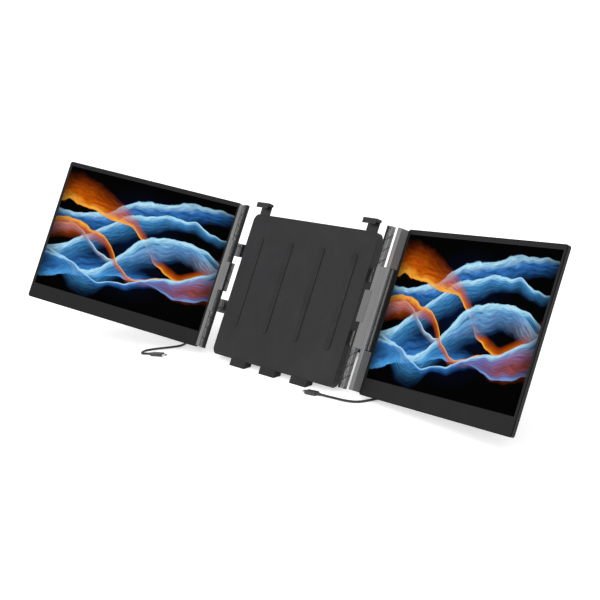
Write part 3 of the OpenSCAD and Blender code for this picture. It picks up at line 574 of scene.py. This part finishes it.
# %% Helper that makes a finish from the building blocks
WORN, WORN_LIFT, SMOOTHED = 1.5, 0.01, 1.2     # worn patches are paler, and smoother
DUST_TONE, DUST_ROUGHENS = 0.35, 0.4           # dust is pale grey, and rougher
BUMP_STRENGTH = 0.35


def finish(name, tone, rough, metal=0.0, grain_size=2500.0, lines=None, contrast=0.12, relief_mm=0.01,
           marks=0.06, dust=0.1, specular=0.4):
    """A material with grain or brushed lines, handling marks and dust."""
    material, nodes, shader = start_material(name)
    space = nodes.add("ShaderNodeTexCoord")
    where = space.outputs["Object"]
    wear = use_group(nodes, handling, Vector=where)
    if lines:
        texture = use_group(nodes, brushed, Vector=where, Lines_per_metre=lines, Contrast=contrast)
    else:
        texture = use_group(nodes, grain, Vector=where, Grain_per_metre=grain_size)
    toned = nodes.vector("SCALE", tone, texture["Tone"])
    worn = tuple(min(1.0, c * WORN + WORN_LIFT) for c in tone) + (1.0,)
    handled = nodes.mix(nodes.math("MULTIPLY", wear["Patches"], marks), toned, worn)
    settled = use_group(nodes, dusting, Vector=where, Normal=space.outputs["Normal"], Amount=dust)
    nodes.put(shader.inputs["Base Color"], nodes.mix(settled["Dust"], handled, grey(DUST_TONE)))
    roughness = nodes.math("ADD", nodes.math("MULTIPLY", wear["Patches"], -marks * SMOOTHED), rough)
    dusty = nodes.math("MULTIPLY", settled["Dust"], DUST_ROUGHENS)
    nodes.put(shader.inputs["Roughness"], nodes.math("ADD", roughness, dusty, clamp=True))
    bump = nodes.add("ShaderNodeBump", Height=texture["Height"], Strength=BUMP_STRENGTH,
                     Distance=relief_mm * MM)
    nodes.put(shader.inputs["Normal"], bump.outputs[0])
    shader.inputs["Metallic"].default_value = metal
    shader.inputs["Specular IOR Level"].default_value = specular
    return material


print("dust tone:", DUST_TONE, "bump strength:", BUMP_STRENGTH)

# %% The finishes of this object
finishes = {
    "hinge_metal": finish("satin_gunmetal", (0.14, 0.14, 0.142), 0.42, metal=0.25, lines=1500,
                          contrast=0.7, relief_mm=0.02, marks=0.1),
    "strip_metal": finish("bead_blasted_strip", (0.15, 0.15, 0.15), 0.5, metal=0.25, lines=2200,
                          contrast=0.6, relief_mm=0.04, marks=0.15),
    "hook_metal": finish("hook_gunmetal", (0.008, 0.008, 0.008), 0.4, metal=0.1, lines=1800,
                         contrast=0.3, marks=0.1, specular=0.3),
    # the clip leaf is the gunmetal in a darker tone: painted shade for the step where the leaf lies over the
    # knuckle plate
    "leaf_painted_shade_metal": finish("clip_leaf_painted_shade_gunmetal", (0.105, 0.105, 0.105), 0.5, metal=0.2, lines=1700,
                         contrast=0.5, marks=0.15),
    "rail_metal": finish("drawn_rail", (0.4, 0.4, 0.41), 0.32, metal=1.0, lines=1200,
                         contrast=0.35, marks=0.15, dust=0.05),
    "casing": finish("back_cover_paint", (0.01, 0.01, 0.011), 0.5, grain_size=2600, relief_mm=0.02,
                     specular=0.25),
    "bezel": finish("bezel_paint", (0.0135, 0.0135, 0.0135), 0.55, grain_size=3200, relief_mm=0.012,
                    specular=0.06, marks=0.03, dust=0.03),
    "shell": finish("frame_shell", (0.015, 0.015, 0.016), 0.55, grain_size=1800, relief_mm=0.03,
                    specular=0.25),
    "plate": finish("front_plate_coat", (0.014, 0.014, 0.015), 0.6, grain_size=1500, relief_mm=0.03,
                    specular=0.2),
    # one even black for the thin rim round each casing
    "rim": finish("black_rim_bead", (0.003, 0.003, 0.003), 0.7, grain_size=3600, marks=0.02, dust=0.02,
                  specular=0.08),
    "soft_pad": finish("silicone_pad", (0.012, 0.012, 0.012), 0.8, grain_size=3000, marks=0.02,
                       dust=0.35, specular=0.25),
    "guide": finish("guide_acetal", (0.05, 0.05, 0.052), 0.45, grain_size=2000),
    "screw": finish("black_zinc_screw", (0.12, 0.12, 0.125), 0.35, metal=1.0),
    "pin": finish("ground_pin", (0.55, 0.55, 0.56), 0.25, metal=1.0, lines=2500, contrast=0.2),
    "stand_metal": finish("stand_coat", (0.03, 0.03, 0.031), 0.5, metal=0.2, grain_size=1600,
                          relief_mm=0.03),
    "button": finish("button_plastic", (0.05, 0.05, 0.052), 0.4, grain_size=2400),
    "port_metal": finish("stainless_shell", (0.55, 0.55, 0.56), 0.28, metal=1.0, lines=3000,
                         contrast=0.15),
    "cable": finish("lead_jacket", (0.012, 0.012, 0.012), 0.55, grain_size=3500, specular=0.3),
    "plug": finish("plug_moulding", (0.014, 0.014, 0.014), 0.55, grain_size=3500, specular=0.3),
    "plug_grey": finish("grey_plug_moulding", (0.028, 0.028, 0.029), 0.45, grain_size=3500),
}
print("finishes:", len(finishes))

# %% [markdown]
# ## Circuit board and speaker gauze
# Inside each housing a green board and two small speakers show only through the slots.
# The board is green lacquer over copper tracks, and the speaker front is a woven gauze:
# both are patterns in two directions, so they come from waves and bricks in the material.

# %% Board and speaker materials
def patterned(name, build, rough):
    """A material whose colour and height come from one small pattern function."""
    material, nodes, shader = start_material(name)
    where = nodes.add("ShaderNodeTexCoord").outputs["Object"]
    colour, height = build(nodes, where)
    nodes.put(shader.inputs["Base Color"], colour)
    bump = nodes.add("ShaderNodeBump", Height=height, Strength=0.5, Distance=0.05 * MM)
    nodes.put(shader.inputs["Normal"], bump.outputs[0])
    shader.inputs["Roughness"].default_value = rough
    return material


def board_pattern(nodes, where):
    """Green lacquer with lighter tracks under it."""
    tracks = nodes.add("ShaderNodeTexBrick", Vector=where, Scale=90.0, Mortar_Size=0.03)
    noise = nodes.add("ShaderNodeTexNoise", Vector=where, Scale=60.0)
    green = nodes.mix(noise.outputs["Fac"], (0.004, 0.05, 0.02, 1), (0.008, 0.085, 0.035, 1))
    return nodes.mix(tracks.outputs["Fac"], green, (0.05, 0.16, 0.06, 1)), tracks.outputs["Fac"]


def gauze_pattern(nodes, where):
    """Threads that cross, as the larger of two waves."""
    across = nodes.add("ShaderNodeTexWave", {"bands_direction": "X"}, Vector=where, Scale=500.0)
    upward = nodes.add("ShaderNodeTexWave", {"bands_direction": "Z"}, Vector=where, Scale=500.0)
    weave = nodes.math("MAXIMUM", across.outputs["Fac"], upward.outputs["Fac"])
    return nodes.mix(weave, grey(0.004), grey(0.05)), weave


finishes["circuit_board"] = patterned("green_board", board_pattern, 0.35)
finishes["speaker"] = patterned("speaker_gauze", gauze_pattern, 0.6)
print("finishes now:", len(finishes))

# %% [markdown]
# ## The picture on the screens
# A lit panel is a light source: its picture goes to Emission Color, over a nearly black satin front.
# The wallpaper is a generic one of blue and orange silk bands that sweep across black. A picture file
# could be laid on the panel, but a pattern made by nodes needs no file and stays sharp from close by.
# One group draws a band: a centre line that swings like a wave, a soft flank, a crisp lip and fine
# threads. Each band is laid over the ones before it, as sheets of cloth would be.

# %% Group: one silk band laid over what is already painted
band, n, given, out = new_group(
    "silk_band",
    [("Under", "Color", grey(0)), ("Across", "Float", 0), ("Up", "Float", 0), ("Height", "Float", 0),
     ("Slope", "Float", 0), ("Swing", "Float", 0.3), ("Waves", "Float", 2), ("Phase", "Float", 0),
     ("Width", "Float", 0.4), ("Threads", "Float", 40), ("Flip", "Float", 1),
     ("Deep", "Color", (0, 0.02, 0.2, 1)), ("Bright", "Color", (0.1, 0.4, 1, 1)),
     ("Lip", "Color", (0.6, 0.9, 1, 1))],
    [("Colour", "Color")])
swing_angle = n.math("MULTIPLY_ADD", given["Across"], given["Waves"], given["Phase"])
slow = n.math("SINE", swing_angle)
quick_wave = n.math("SINE", n.math("MULTIPLY_ADD", swing_angle, 2.3, 1.1))
swing = n.math("MULTIPLY", n.math("MULTIPLY_ADD", quick_wave, 0.22, slow), given["Swing"])
centre = n.math("ADD", n.math("MULTIPLY_ADD", given["Across"], given["Slope"], given["Height"]), swing)
fold = n.math("MULTIPLY_ADD", n.math("COSINE", n.math("MULTIPLY", swing_angle, 0.77)), 0.38, 0.62)
offset = n.math("DIVIDE", n.math("MULTIPLY", n.math("SUBTRACT", given["Up"], centre), given["Flip"]),
                n.math("MULTIPLY", given["Width"], fold))
streak_place = n.add("ShaderNodeCombineXYZ", X=n.math("MULTIPLY_ADD", given["Across"], 1.4, swing_angle),
                     Y=n.math("MULTIPLY", offset, n.math("MULTIPLY", given["Threads"], 0.16)))
streak = n.add("ShaderNodeTexNoise", Vector=streak_place.outputs[0], Scale=1.7, Detail=6.0,
               Roughness=0.68).outputs["Fac"]
crisp = n.spread(streak, 0.3, 0.7)
offset = n.math("MULTIPLY_ADD", n.math("SUBTRACT", streak, 0.5), 0.22, offset)
flank = n.math("POWER", n.spread(offset, -1.0, 0.0), 0.7)
edge = n.spread(offset, 0.0, 0.035, 1.0, 0.0, smooth=True)
cover = n.math("MULTIPLY", flank, edge)
thread_wave = n.math("SINE", n.math("MULTIPLY_ADD", offset, given["Threads"],
                                    n.math("MULTIPLY", swing_angle, 3.0)))
thread = n.math("MULTIPLY_ADD", thread_wave, 0.1, 0.9)
pleat_place = n.math("MULTIPLY_ADD", offset, n.math("MULTIPLY", given["Threads"], 0.13),
                     n.math("MULTIPLY", swing_angle, 1.7))
pleat = n.math("MULTIPLY_ADD", n.math("FRACT", pleat_place), 0.5, 0.55)
shade = n.math("MULTIPLY", n.math("MULTIPLY", n.math("MULTIPLY_ADD", crisp, 0.75, 0.42), thread), pleat)
silk = n.mix(n.math("POWER", n.math("MULTIPLY", flank, shade), 0.9), given["Deep"], given["Bright"])
lip = n.math("MULTIPLY", n.spread(offset, -0.3, -0.01, smooth=True), edge)
lit = n.mix(n.math("MULTIPLY", lip, n.math("MULTIPLY_ADD", crisp, 0.55, 0.45)), silk, given["Lip"])
n.put(out["Colour"], n.mix(cover, given["Under"], lit))
print("group:", band.name)

# %% The bands of the wallpaper
DEEP_BLUE, BLUE, ICE = (0.0, 0.02, 0.12, 1), (0.06, 0.33, 0.95, 1), (0.55, 0.9, 1.0, 1)
NIGHT, AZURE, PEARL = (0.0, 0.006, 0.05, 1), (0.11, 0.5, 1.0, 1), (0.62, 0.74, 0.95, 1)
EMBER, ORANGE, GOLD = (0.25, 0.02, 0.0, 1), (1.0, 0.2, 0.003, 1), (1.0, 0.5, 0.05, 1)
BAND_VALUES = ("Height", "Slope", "Swing", "Waves", "Phase", "Width", "Threads", "Flip",
               "Deep", "Bright", "Lip")
BANDS = [
    (0.62, 0.10, 0.16, 1.5, 0.4, 0.50, 34, 1, NIGHT, BLUE, ICE),
    (-0.66, 0.22, 0.20, 1.3, 2.6, 0.55, 30, -1, NIGHT, BLUE, AZURE),
    (0.30, 0.24, 0.24, 1.9, 1.3, 0.50, 46, 1, DEEP_BLUE, AZURE, ICE),
    (0.10, -0.12, 0.26, 1.7, 3.1, 0.52, 38, -1, EMBER, ORANGE, GOLD),
    (-0.02, 0.05, 0.22, 2.6, 5.6, 0.30, 34, 1, DEEP_BLUE, PEARL, ICE),
    (-0.12, 0.16, 0.30, 2.1, 0.2, 0.52, 52, 1, DEEP_BLUE, AZURE, ICE),
    (-0.20, -0.16, 0.22, 2.4, 4.2, 0.42, 44, 1, EMBER, ORANGE, GOLD),
    (-0.42, 0.10, 0.20, 1.6, 5.0, 0.36, 40, 1, DEEP_BLUE, BLUE, ICE),
]
print("bands:", len(BANDS))

# %% Helper that measures a place on the picture from its middle
PICTURE_H, CHIN = 215.4, 25.4


def picture_place(nodes, where, side):
    """Places across and up the picture, in half picture heights from its middle."""
    half = PICTURE_H / 2
    middle = Vector((CASE_X + CASE_W / 2, 0, CHIN + half))
    home = MONITOR[side] @ Matrix.Translation(middle) @ Matrix.Scale(half, 4)
    axis_x, axis_z = home.to_3x3().col[0].normalized(), home.to_3x3().col[2].normalized()
    if side == "left":
        axis_x = -axis_x
    moved = nodes.vector("SUBTRACT", where, home.translation)
    return [nodes.vector("DOT_PRODUCT", moved, axis / (half * MM)) for axis in (axis_x, axis_z)]


print("picture height mm:", PICTURE_H)

# %% Lit panel of each monitor
FADE_ACROSS, FADE_UP, FADED_TO = (1.25, 1.62), (0.7, 1.02), 0.25    # in half picture heights


def screen_material(side):
    """Lit panel, with the bands painted one over the other and a fade towards its edges."""
    material, nodes, shader = start_material(side + "_lit_panel")
    where = nodes.add("ShaderNodeTexCoord").outputs["Object"]
    across, up = picture_place(nodes, where, side)
    both = nodes.add("ShaderNodeCombineXYZ", X=across, Y=up)
    drift = nodes.add("ShaderNodeTexNoise", Vector=both.outputs[0], Scale=1.4, Detail=2.0)
    ruffle = nodes.math("MULTIPLY", nodes.math("SUBTRACT", drift.outputs["Fac"], 0.5), 0.35)
    up = nodes.math("ADD", up, ruffle)
    glow = nodes.add("ShaderNodeTexGradient", {"gradient_type": "SPHERICAL"}, Vector=both.outputs[0])
    painted = nodes.mix(glow.outputs["Fac"], (0.0003, 0.0003, 0.0006, 1), (0.0006, 0.004, 0.02, 1))
    for values in BANDS:
        painted = use_group(nodes, band, Under=painted, Across=across, Up=up,
                            **dict(zip(BAND_VALUES, values)))["Colour"]
    side_fade = nodes.spread(nodes.math("ABSOLUTE", across), *FADE_ACROSS, 1.0, FADED_TO, smooth=True)
    end_fade = nodes.spread(nodes.math("ABSOLUTE", up), *FADE_UP, 1.0, FADED_TO, smooth=True)
    fade = nodes.math("MULTIPLY", side_fade, end_fade)
    nodes.put(shader.inputs["Emission Color"], nodes.mix(fade, grey(0.0), painted))
    shader.inputs["Emission Strength"].default_value = 1.0
    shader.inputs["Specular IOR Level"].default_value = 0.0
    dots = nodes.add("ShaderNodeTexNoise", Vector=where, Scale=4000.0)
    nodes.put(shader.inputs["Roughness"], nodes.math("MULTIPLY_ADD", dots.outputs["Fac"], 0.08, 0.3))
    nodes.put(shader.inputs["Base Color"], nodes.mix(dots.outputs["Fac"], grey(0.0006), grey(0.001)))
    return material


panels = {side: screen_material(side) for side in SIDES}
print("panels:", sorted(panels))

# %% [markdown]
# ## Finishes for the CAD solids
# Every solid already names the kind of surface it has, in the record that was packed with it. The finish
# could be given piece by piece, but reading the record gives every solid its finish in one loop, and a
# solid that is added later can't be forgotten. The same record says which body each solid moves with.

# %% Slots and bodies of the CAD nodes
NODE_SLOTS = {row["node"]: row["material_slot"] for row in frame["record"]["subparts"]}
NODE_BODY = {node: body for body, nodes in frame["record"]["behaviour"]["bodies"].items()
             for node in nodes}
print("slots in use:", sorted(set(NODE_SLOTS.values())))

# %% Give every CAD node its finish
for node, item in frame["nodes"].items():
    slot_name = NODE_SLOTS[node]
    material = panels[node.split("_")[0]] if slot_name == "screen" else finishes[slot_name]
    item.data.materials.clear()
    item.data.materials.append(material)
for side in SIDES:
    leads[side].data.materials.append(finishes["cable"])
    for piece, slot_name in zip(lead_plugs[side], ("plug_grey", "port_metal", "plug", "port_metal")):
        piece.data.materials.append(finishes[slot_name])
print("nodes with a finish:", len(NODE_SLOTS))

# %% [markdown]
# ## Softened edges
# Cast and machined parts never have knife edges, and the thin bright line along a broken edge is what
# makes metal look like metal. A copy of the CAD solid gets its flat faces cleaned up and its edges rounded
# with a bevel, and then stands for the solid. Parts whose shape is too busy for that keep the CAD mesh.

# %% Helper that copies a CAD solid with rounded edges
FLAT_WITHIN, SHARP_OVER, WELD_WITHIN = math.radians(0.3), math.radians(32), 2e-6


def softened(node, width_mm):
    """A copy of a CAD node with its edges broken by a small radius."""
    bm = bmesh.new()
    bm.from_mesh(frame["nodes"][node].data)
    bmesh.ops.remove_doubles(bm, verts=bm.verts, dist=WELD_WITHIN)
    bmesh.ops.dissolve_limit(bm, angle_limit=FLAT_WITHIN, verts=bm.verts, edges=bm.edges,
                             use_dissolve_boundaries=False, delimit=set())
    piece = finish_mesh(node + "_soft", bm, Matrix.Identity(4), NODE_BODY[node],
                        finishes[NODE_SLOTS[node]])
    add_modifier(piece, "BEVEL", width=width_mm * MM, segments=2, limit_method="ANGLE",
                 angle_limit=SHARP_OVER, use_clamp_overlap=True)
    add_modifier(piece, "WEIGHTED_NORMAL", keep_sharp=False, weight=60)
    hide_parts(node)


print("points within", WELD_WITHIN, "m of each other become one")

# %% Edges broken on the hinge parts, hooks, spines, kickstand and front plate
SIDE_RADII = {"knuckle": 0.35, "posts": 0.35, "hook": 0.3, "spine": 0.3}
FRAME_RADII = {"stand_leg": 0.5, "front_plate": 0.5}
soft_radii = {side + "_" + part: radius for side in SIDES for part, radius in SIDE_RADII.items()}
soft_radii.update(FRAME_RADII)
for node, radius in soft_radii.items():
    softened(node, radius)
print("softened:", len(soft_radii), "parts")

# %% [markdown]
# ## Strips, clip leaf and hinge web
# The side strips are stamped with a shallow zig-zag. Their copies keep the solid's outline and carry fine
# dark lines of painted shade that climb across the metal where the bars' upper edges fall in shade, and the
# right one's pockets get a higher floor. On the right hinge a thin spring leaf is riveted over the clip's
# front, in a darker tone that is painted shade for its step onto the plate, and a folded metal web covers the
# bar behind the knuckle, so that the posts read as one long part. Both are thin sheet, made as closed skins a
# few tenths of a millimetre proud of what they cover. The lines are painted shade in the colour; no groove is
# cut.

# %% Group: painted shade lines that climb across the strip
SHADE_LINE_PITCH, SHADE_LINE_RISE = 17.6, 0.7          # mm up the strip, and climb for each mm across it
SHADE_LINE_CORE, SHADE_LINE_FADE = 0.0315, 0.09       # shares of the pitch to either side of a line
painted_shade, n, given, out = new_group(
    "painted_shade_lines",
    [("Climb", "Float", 0.0), ("Colour", "Color", grey(0.1))],
    [("Colour", "Color")])
turn = n.math("FRACT", n.math("DIVIDE", given["Climb"], SHADE_LINE_PITCH))
off_line = n.math("ABSOLUTE", n.math("SUBTRACT", turn, 0.5))
line = n.spread(off_line, SHADE_LINE_CORE, SHADE_LINE_FADE, 1.0, 0.0, smooth=True)
# painted shade: each line darkens the strip's colour where the upper edges of the zig-zag bars fall in shade
n.put(out["Colour"], n.mix(n.math("MULTIPLY", line, 0.8), given["Colour"], grey(0.01)))
print("group:", painted_shade.name)

# %% Helper that gives a strip's finish its painted shade lines
def painted_shade_finish(side):
    """The strip's finish with the painted shade lines wired in before its colour."""
    material = finishes["strip_metal"].copy()
    material.name = side + "_painted_shade_strip"
    nodes = Nodes(material.node_tree)
    colour = material.node_tree.nodes["Principled BSDF"].inputs["Base Color"]
    plain = colour.links[0].from_socket
    drawn = SIDE_PLANE[side].inverted()
    turned = drawn.to_3x3()
    where = nodes.add("ShaderNodeTexCoord").outputs["Object"]
    climb = nodes.vector("DOT_PRODUCT", where,
                         turned.row[2] - SHADE_LINE_RISE * (turned.row[0] + turned.row[1]))
    start = drawn.translation.z - SHADE_LINE_RISE * (drawn.translation.x + drawn.translation.y)
    lined = use_group(nodes, painted_shade, Climb=nodes.math("ADD", climb, start), Colour=plain)
    nodes.put(colour, lined["Colour"])
    return material


# the lines are painted shade, not cut into the metal
print("one scored line every", SHADE_LINE_PITCH, "mm")

# %% Strips with scored lines, and the floor of their pockets
POCKET_FLOOR, POCKET_INNER_X, POCKET_OUTER_X, NEAR_MM = 2.6, 182.0, 188.0, 0.02
SHALLOW_FLOOR = {"left": POCKET_FLOOR, "right": 2.2}


def stamped_strip(side):
    """A copy of the strip with the floor of its pockets set, and its finish with painted shade lines."""
    node = side + "_strip"
    drawn = SIDE_PLANE[side].inverted()
    bm = bmesh.new()
    bm.from_mesh(frame["nodes"][node].data)
    corners = 0
    for vert in bm.verts:
        place = drawn @ vert.co
        if abs(place.y - POCKET_FLOOR) < NEAR_MM and POCKET_INNER_X < place.x < POCKET_OUTER_X:
            vert.co = SIDE_PLANE[side] @ Vector((place.x, SHALLOW_FLOOR[side], place.z))
            corners += 1
    piece = finish_mesh(node + "_stamped", bm, Matrix.Identity(4), NODE_BODY[node],
                        painted_shade_finish(side), smooth=False)
    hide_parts(node)
    print(piece.name, "pocket corners set:", corners)


for side in SIDES:
    stamped_strip(side)

# %% Helper that draws an outline up into a sheet part
def sheet_along_z(name, outline, foot, top, place, body, material, edge=0.15):
    """A closed skin over an outline in x and y, drawn up from foot to top, with broken edges."""
    bm = bmesh.new()
    low, high = ([bm.verts.new((x, y, z)) for x, y in outline] for z in (foot, top))
    for k in range(len(outline)):
        n = (k + 1) % len(outline)
        bm.faces.new((low[k], low[n], high[n], high[k]))
    bm.faces.new(low[::-1])
    bm.faces.new(high)
    piece = finish_mesh(name, bm, place, body, material, smooth=False)
    add_modifier(piece, "BEVEL", width=edge * MM, segments=2, limit_method="ANGLE",
                 angle_limit=math.radians(40))
    return piece


print("helper ready: sheet_along_z")

# %% Spring leaf over the right clip, and web behind the right knuckle
KNUCKLE_Z, KNUCKLE_H, CLIP_H = 62.5, 123.0, 48.0
LEAF_X, LEAF_W, LEAF_BACK, LEAF_FRONT, LEAF_BOW = 174.7, 15.6, -1.5, -1.7, 0.25
LEAF_OVER, LEAF_STEPS = 0.15, 8
WEB_W, WEB_T, WEB_Y, WEB_CORNER, WEB_SHORT = 8.4, 2.9, 6.1, 0.6, 0.6
shares = [k / LEAF_STEPS for k in range(LEAF_STEPS + 1)]
leaf_outline = ([(LEAF_X, LEAF_BACK)]
                + [(LEAF_X + LEAF_W * t, LEAF_FRONT - LEAF_BOW * t * t) for t in shares]
                + [(LEAF_X + LEAF_W, LEAF_BACK)])
leaf = sheet_along_z("right_clip_leaf", leaf_outline, (CASE_H - CLIP_H) / 2 - LEAF_OVER,
                     (CASE_H + CLIP_H) / 2 + LEAF_OVER, SIDE_PLANE["right"], NODE_BODY["right_knuckle"],
                     finishes["leaf_painted_shade_metal"])
web_outline = [(x, WEB_Y + y) for x, y in rounded_ring(WEB_W, WEB_T, WEB_CORNER, 3)]
web = sheet_along_z("right_hinge_web", web_outline, KNUCKLE_Z + WEB_SHORT,
                    KNUCKLE_Z + KNUCKLE_H - WEB_SHORT, MONITOR["right"], "right_monitor",
                    finishes["hinge_metal"], edge=0.1)
print("sheet parts:", leaf.name, web.name)

# %% [markdown]
# ## Rubber rim round each monitor
# A thin black rubber rim sits over the joint between the front bezel and the back cover and stands a hair
# proud of the bezel, so that the glass never touches the other monitor when they are folded together.
# From the front it draws the dark outline of the casing. It is one small rounded section swept round
# the casing's outline, which is lighter and cleaner than a bevel on two solids.

# %% Sweep the rim
RIM_HALF_W, RIM_HALF_D, RIM_DEPTH, RIM_PROUD, RIM_AROUND = 0.75, 0.95, 0.75, 0.3, 10
CASE_CORNER = 4.0


def black_rim_bead(side):
    """Closed bead round the casing's front edge."""
    inset = RIM_HALF_W - RIM_PROUD
    outline = [(x + CASE_X + CASE_W / 2, z + CASE_H / 2) for x, z in
               rounded_ring(CASE_W - 2 * inset, CASE_H - 2 * inset, CASE_CORNER - inset, 6)]
    turns = [2 * math.pi * k / RIM_AROUND for k in range(RIM_AROUND)]
    bm = bmesh.new()
    rings = []
    for i, (x, z) in enumerate(outline):
        before, after = outline[i - 1], outline[(i + 1) % len(outline)]
        run = Vector((after[0] - before[0], after[1] - before[1])).normalized()
        rings.append([bm.verts.new((x + run.y * math.cos(turn) * RIM_HALF_W,
                                    SETBACK[side] + RIM_DEPTH + math.sin(turn) * RIM_HALF_D,
                                    z - run.x * math.cos(turn) * RIM_HALF_W)) for turn in turns])
    for i, ring in enumerate(rings):
        other = rings[(i + 1) % len(rings)]
        for k in range(len(ring)):
            m = (k + 1) % len(ring)
            bm.faces.new((ring[k], ring[m], other[m], other[k]))
    return finish_mesh(side + "_rim", bm, MONITOR[side], side + "_monitor",
                       finishes["rim"])


for side in SIDES:
    print(black_rim_bead(side).name, "swept")
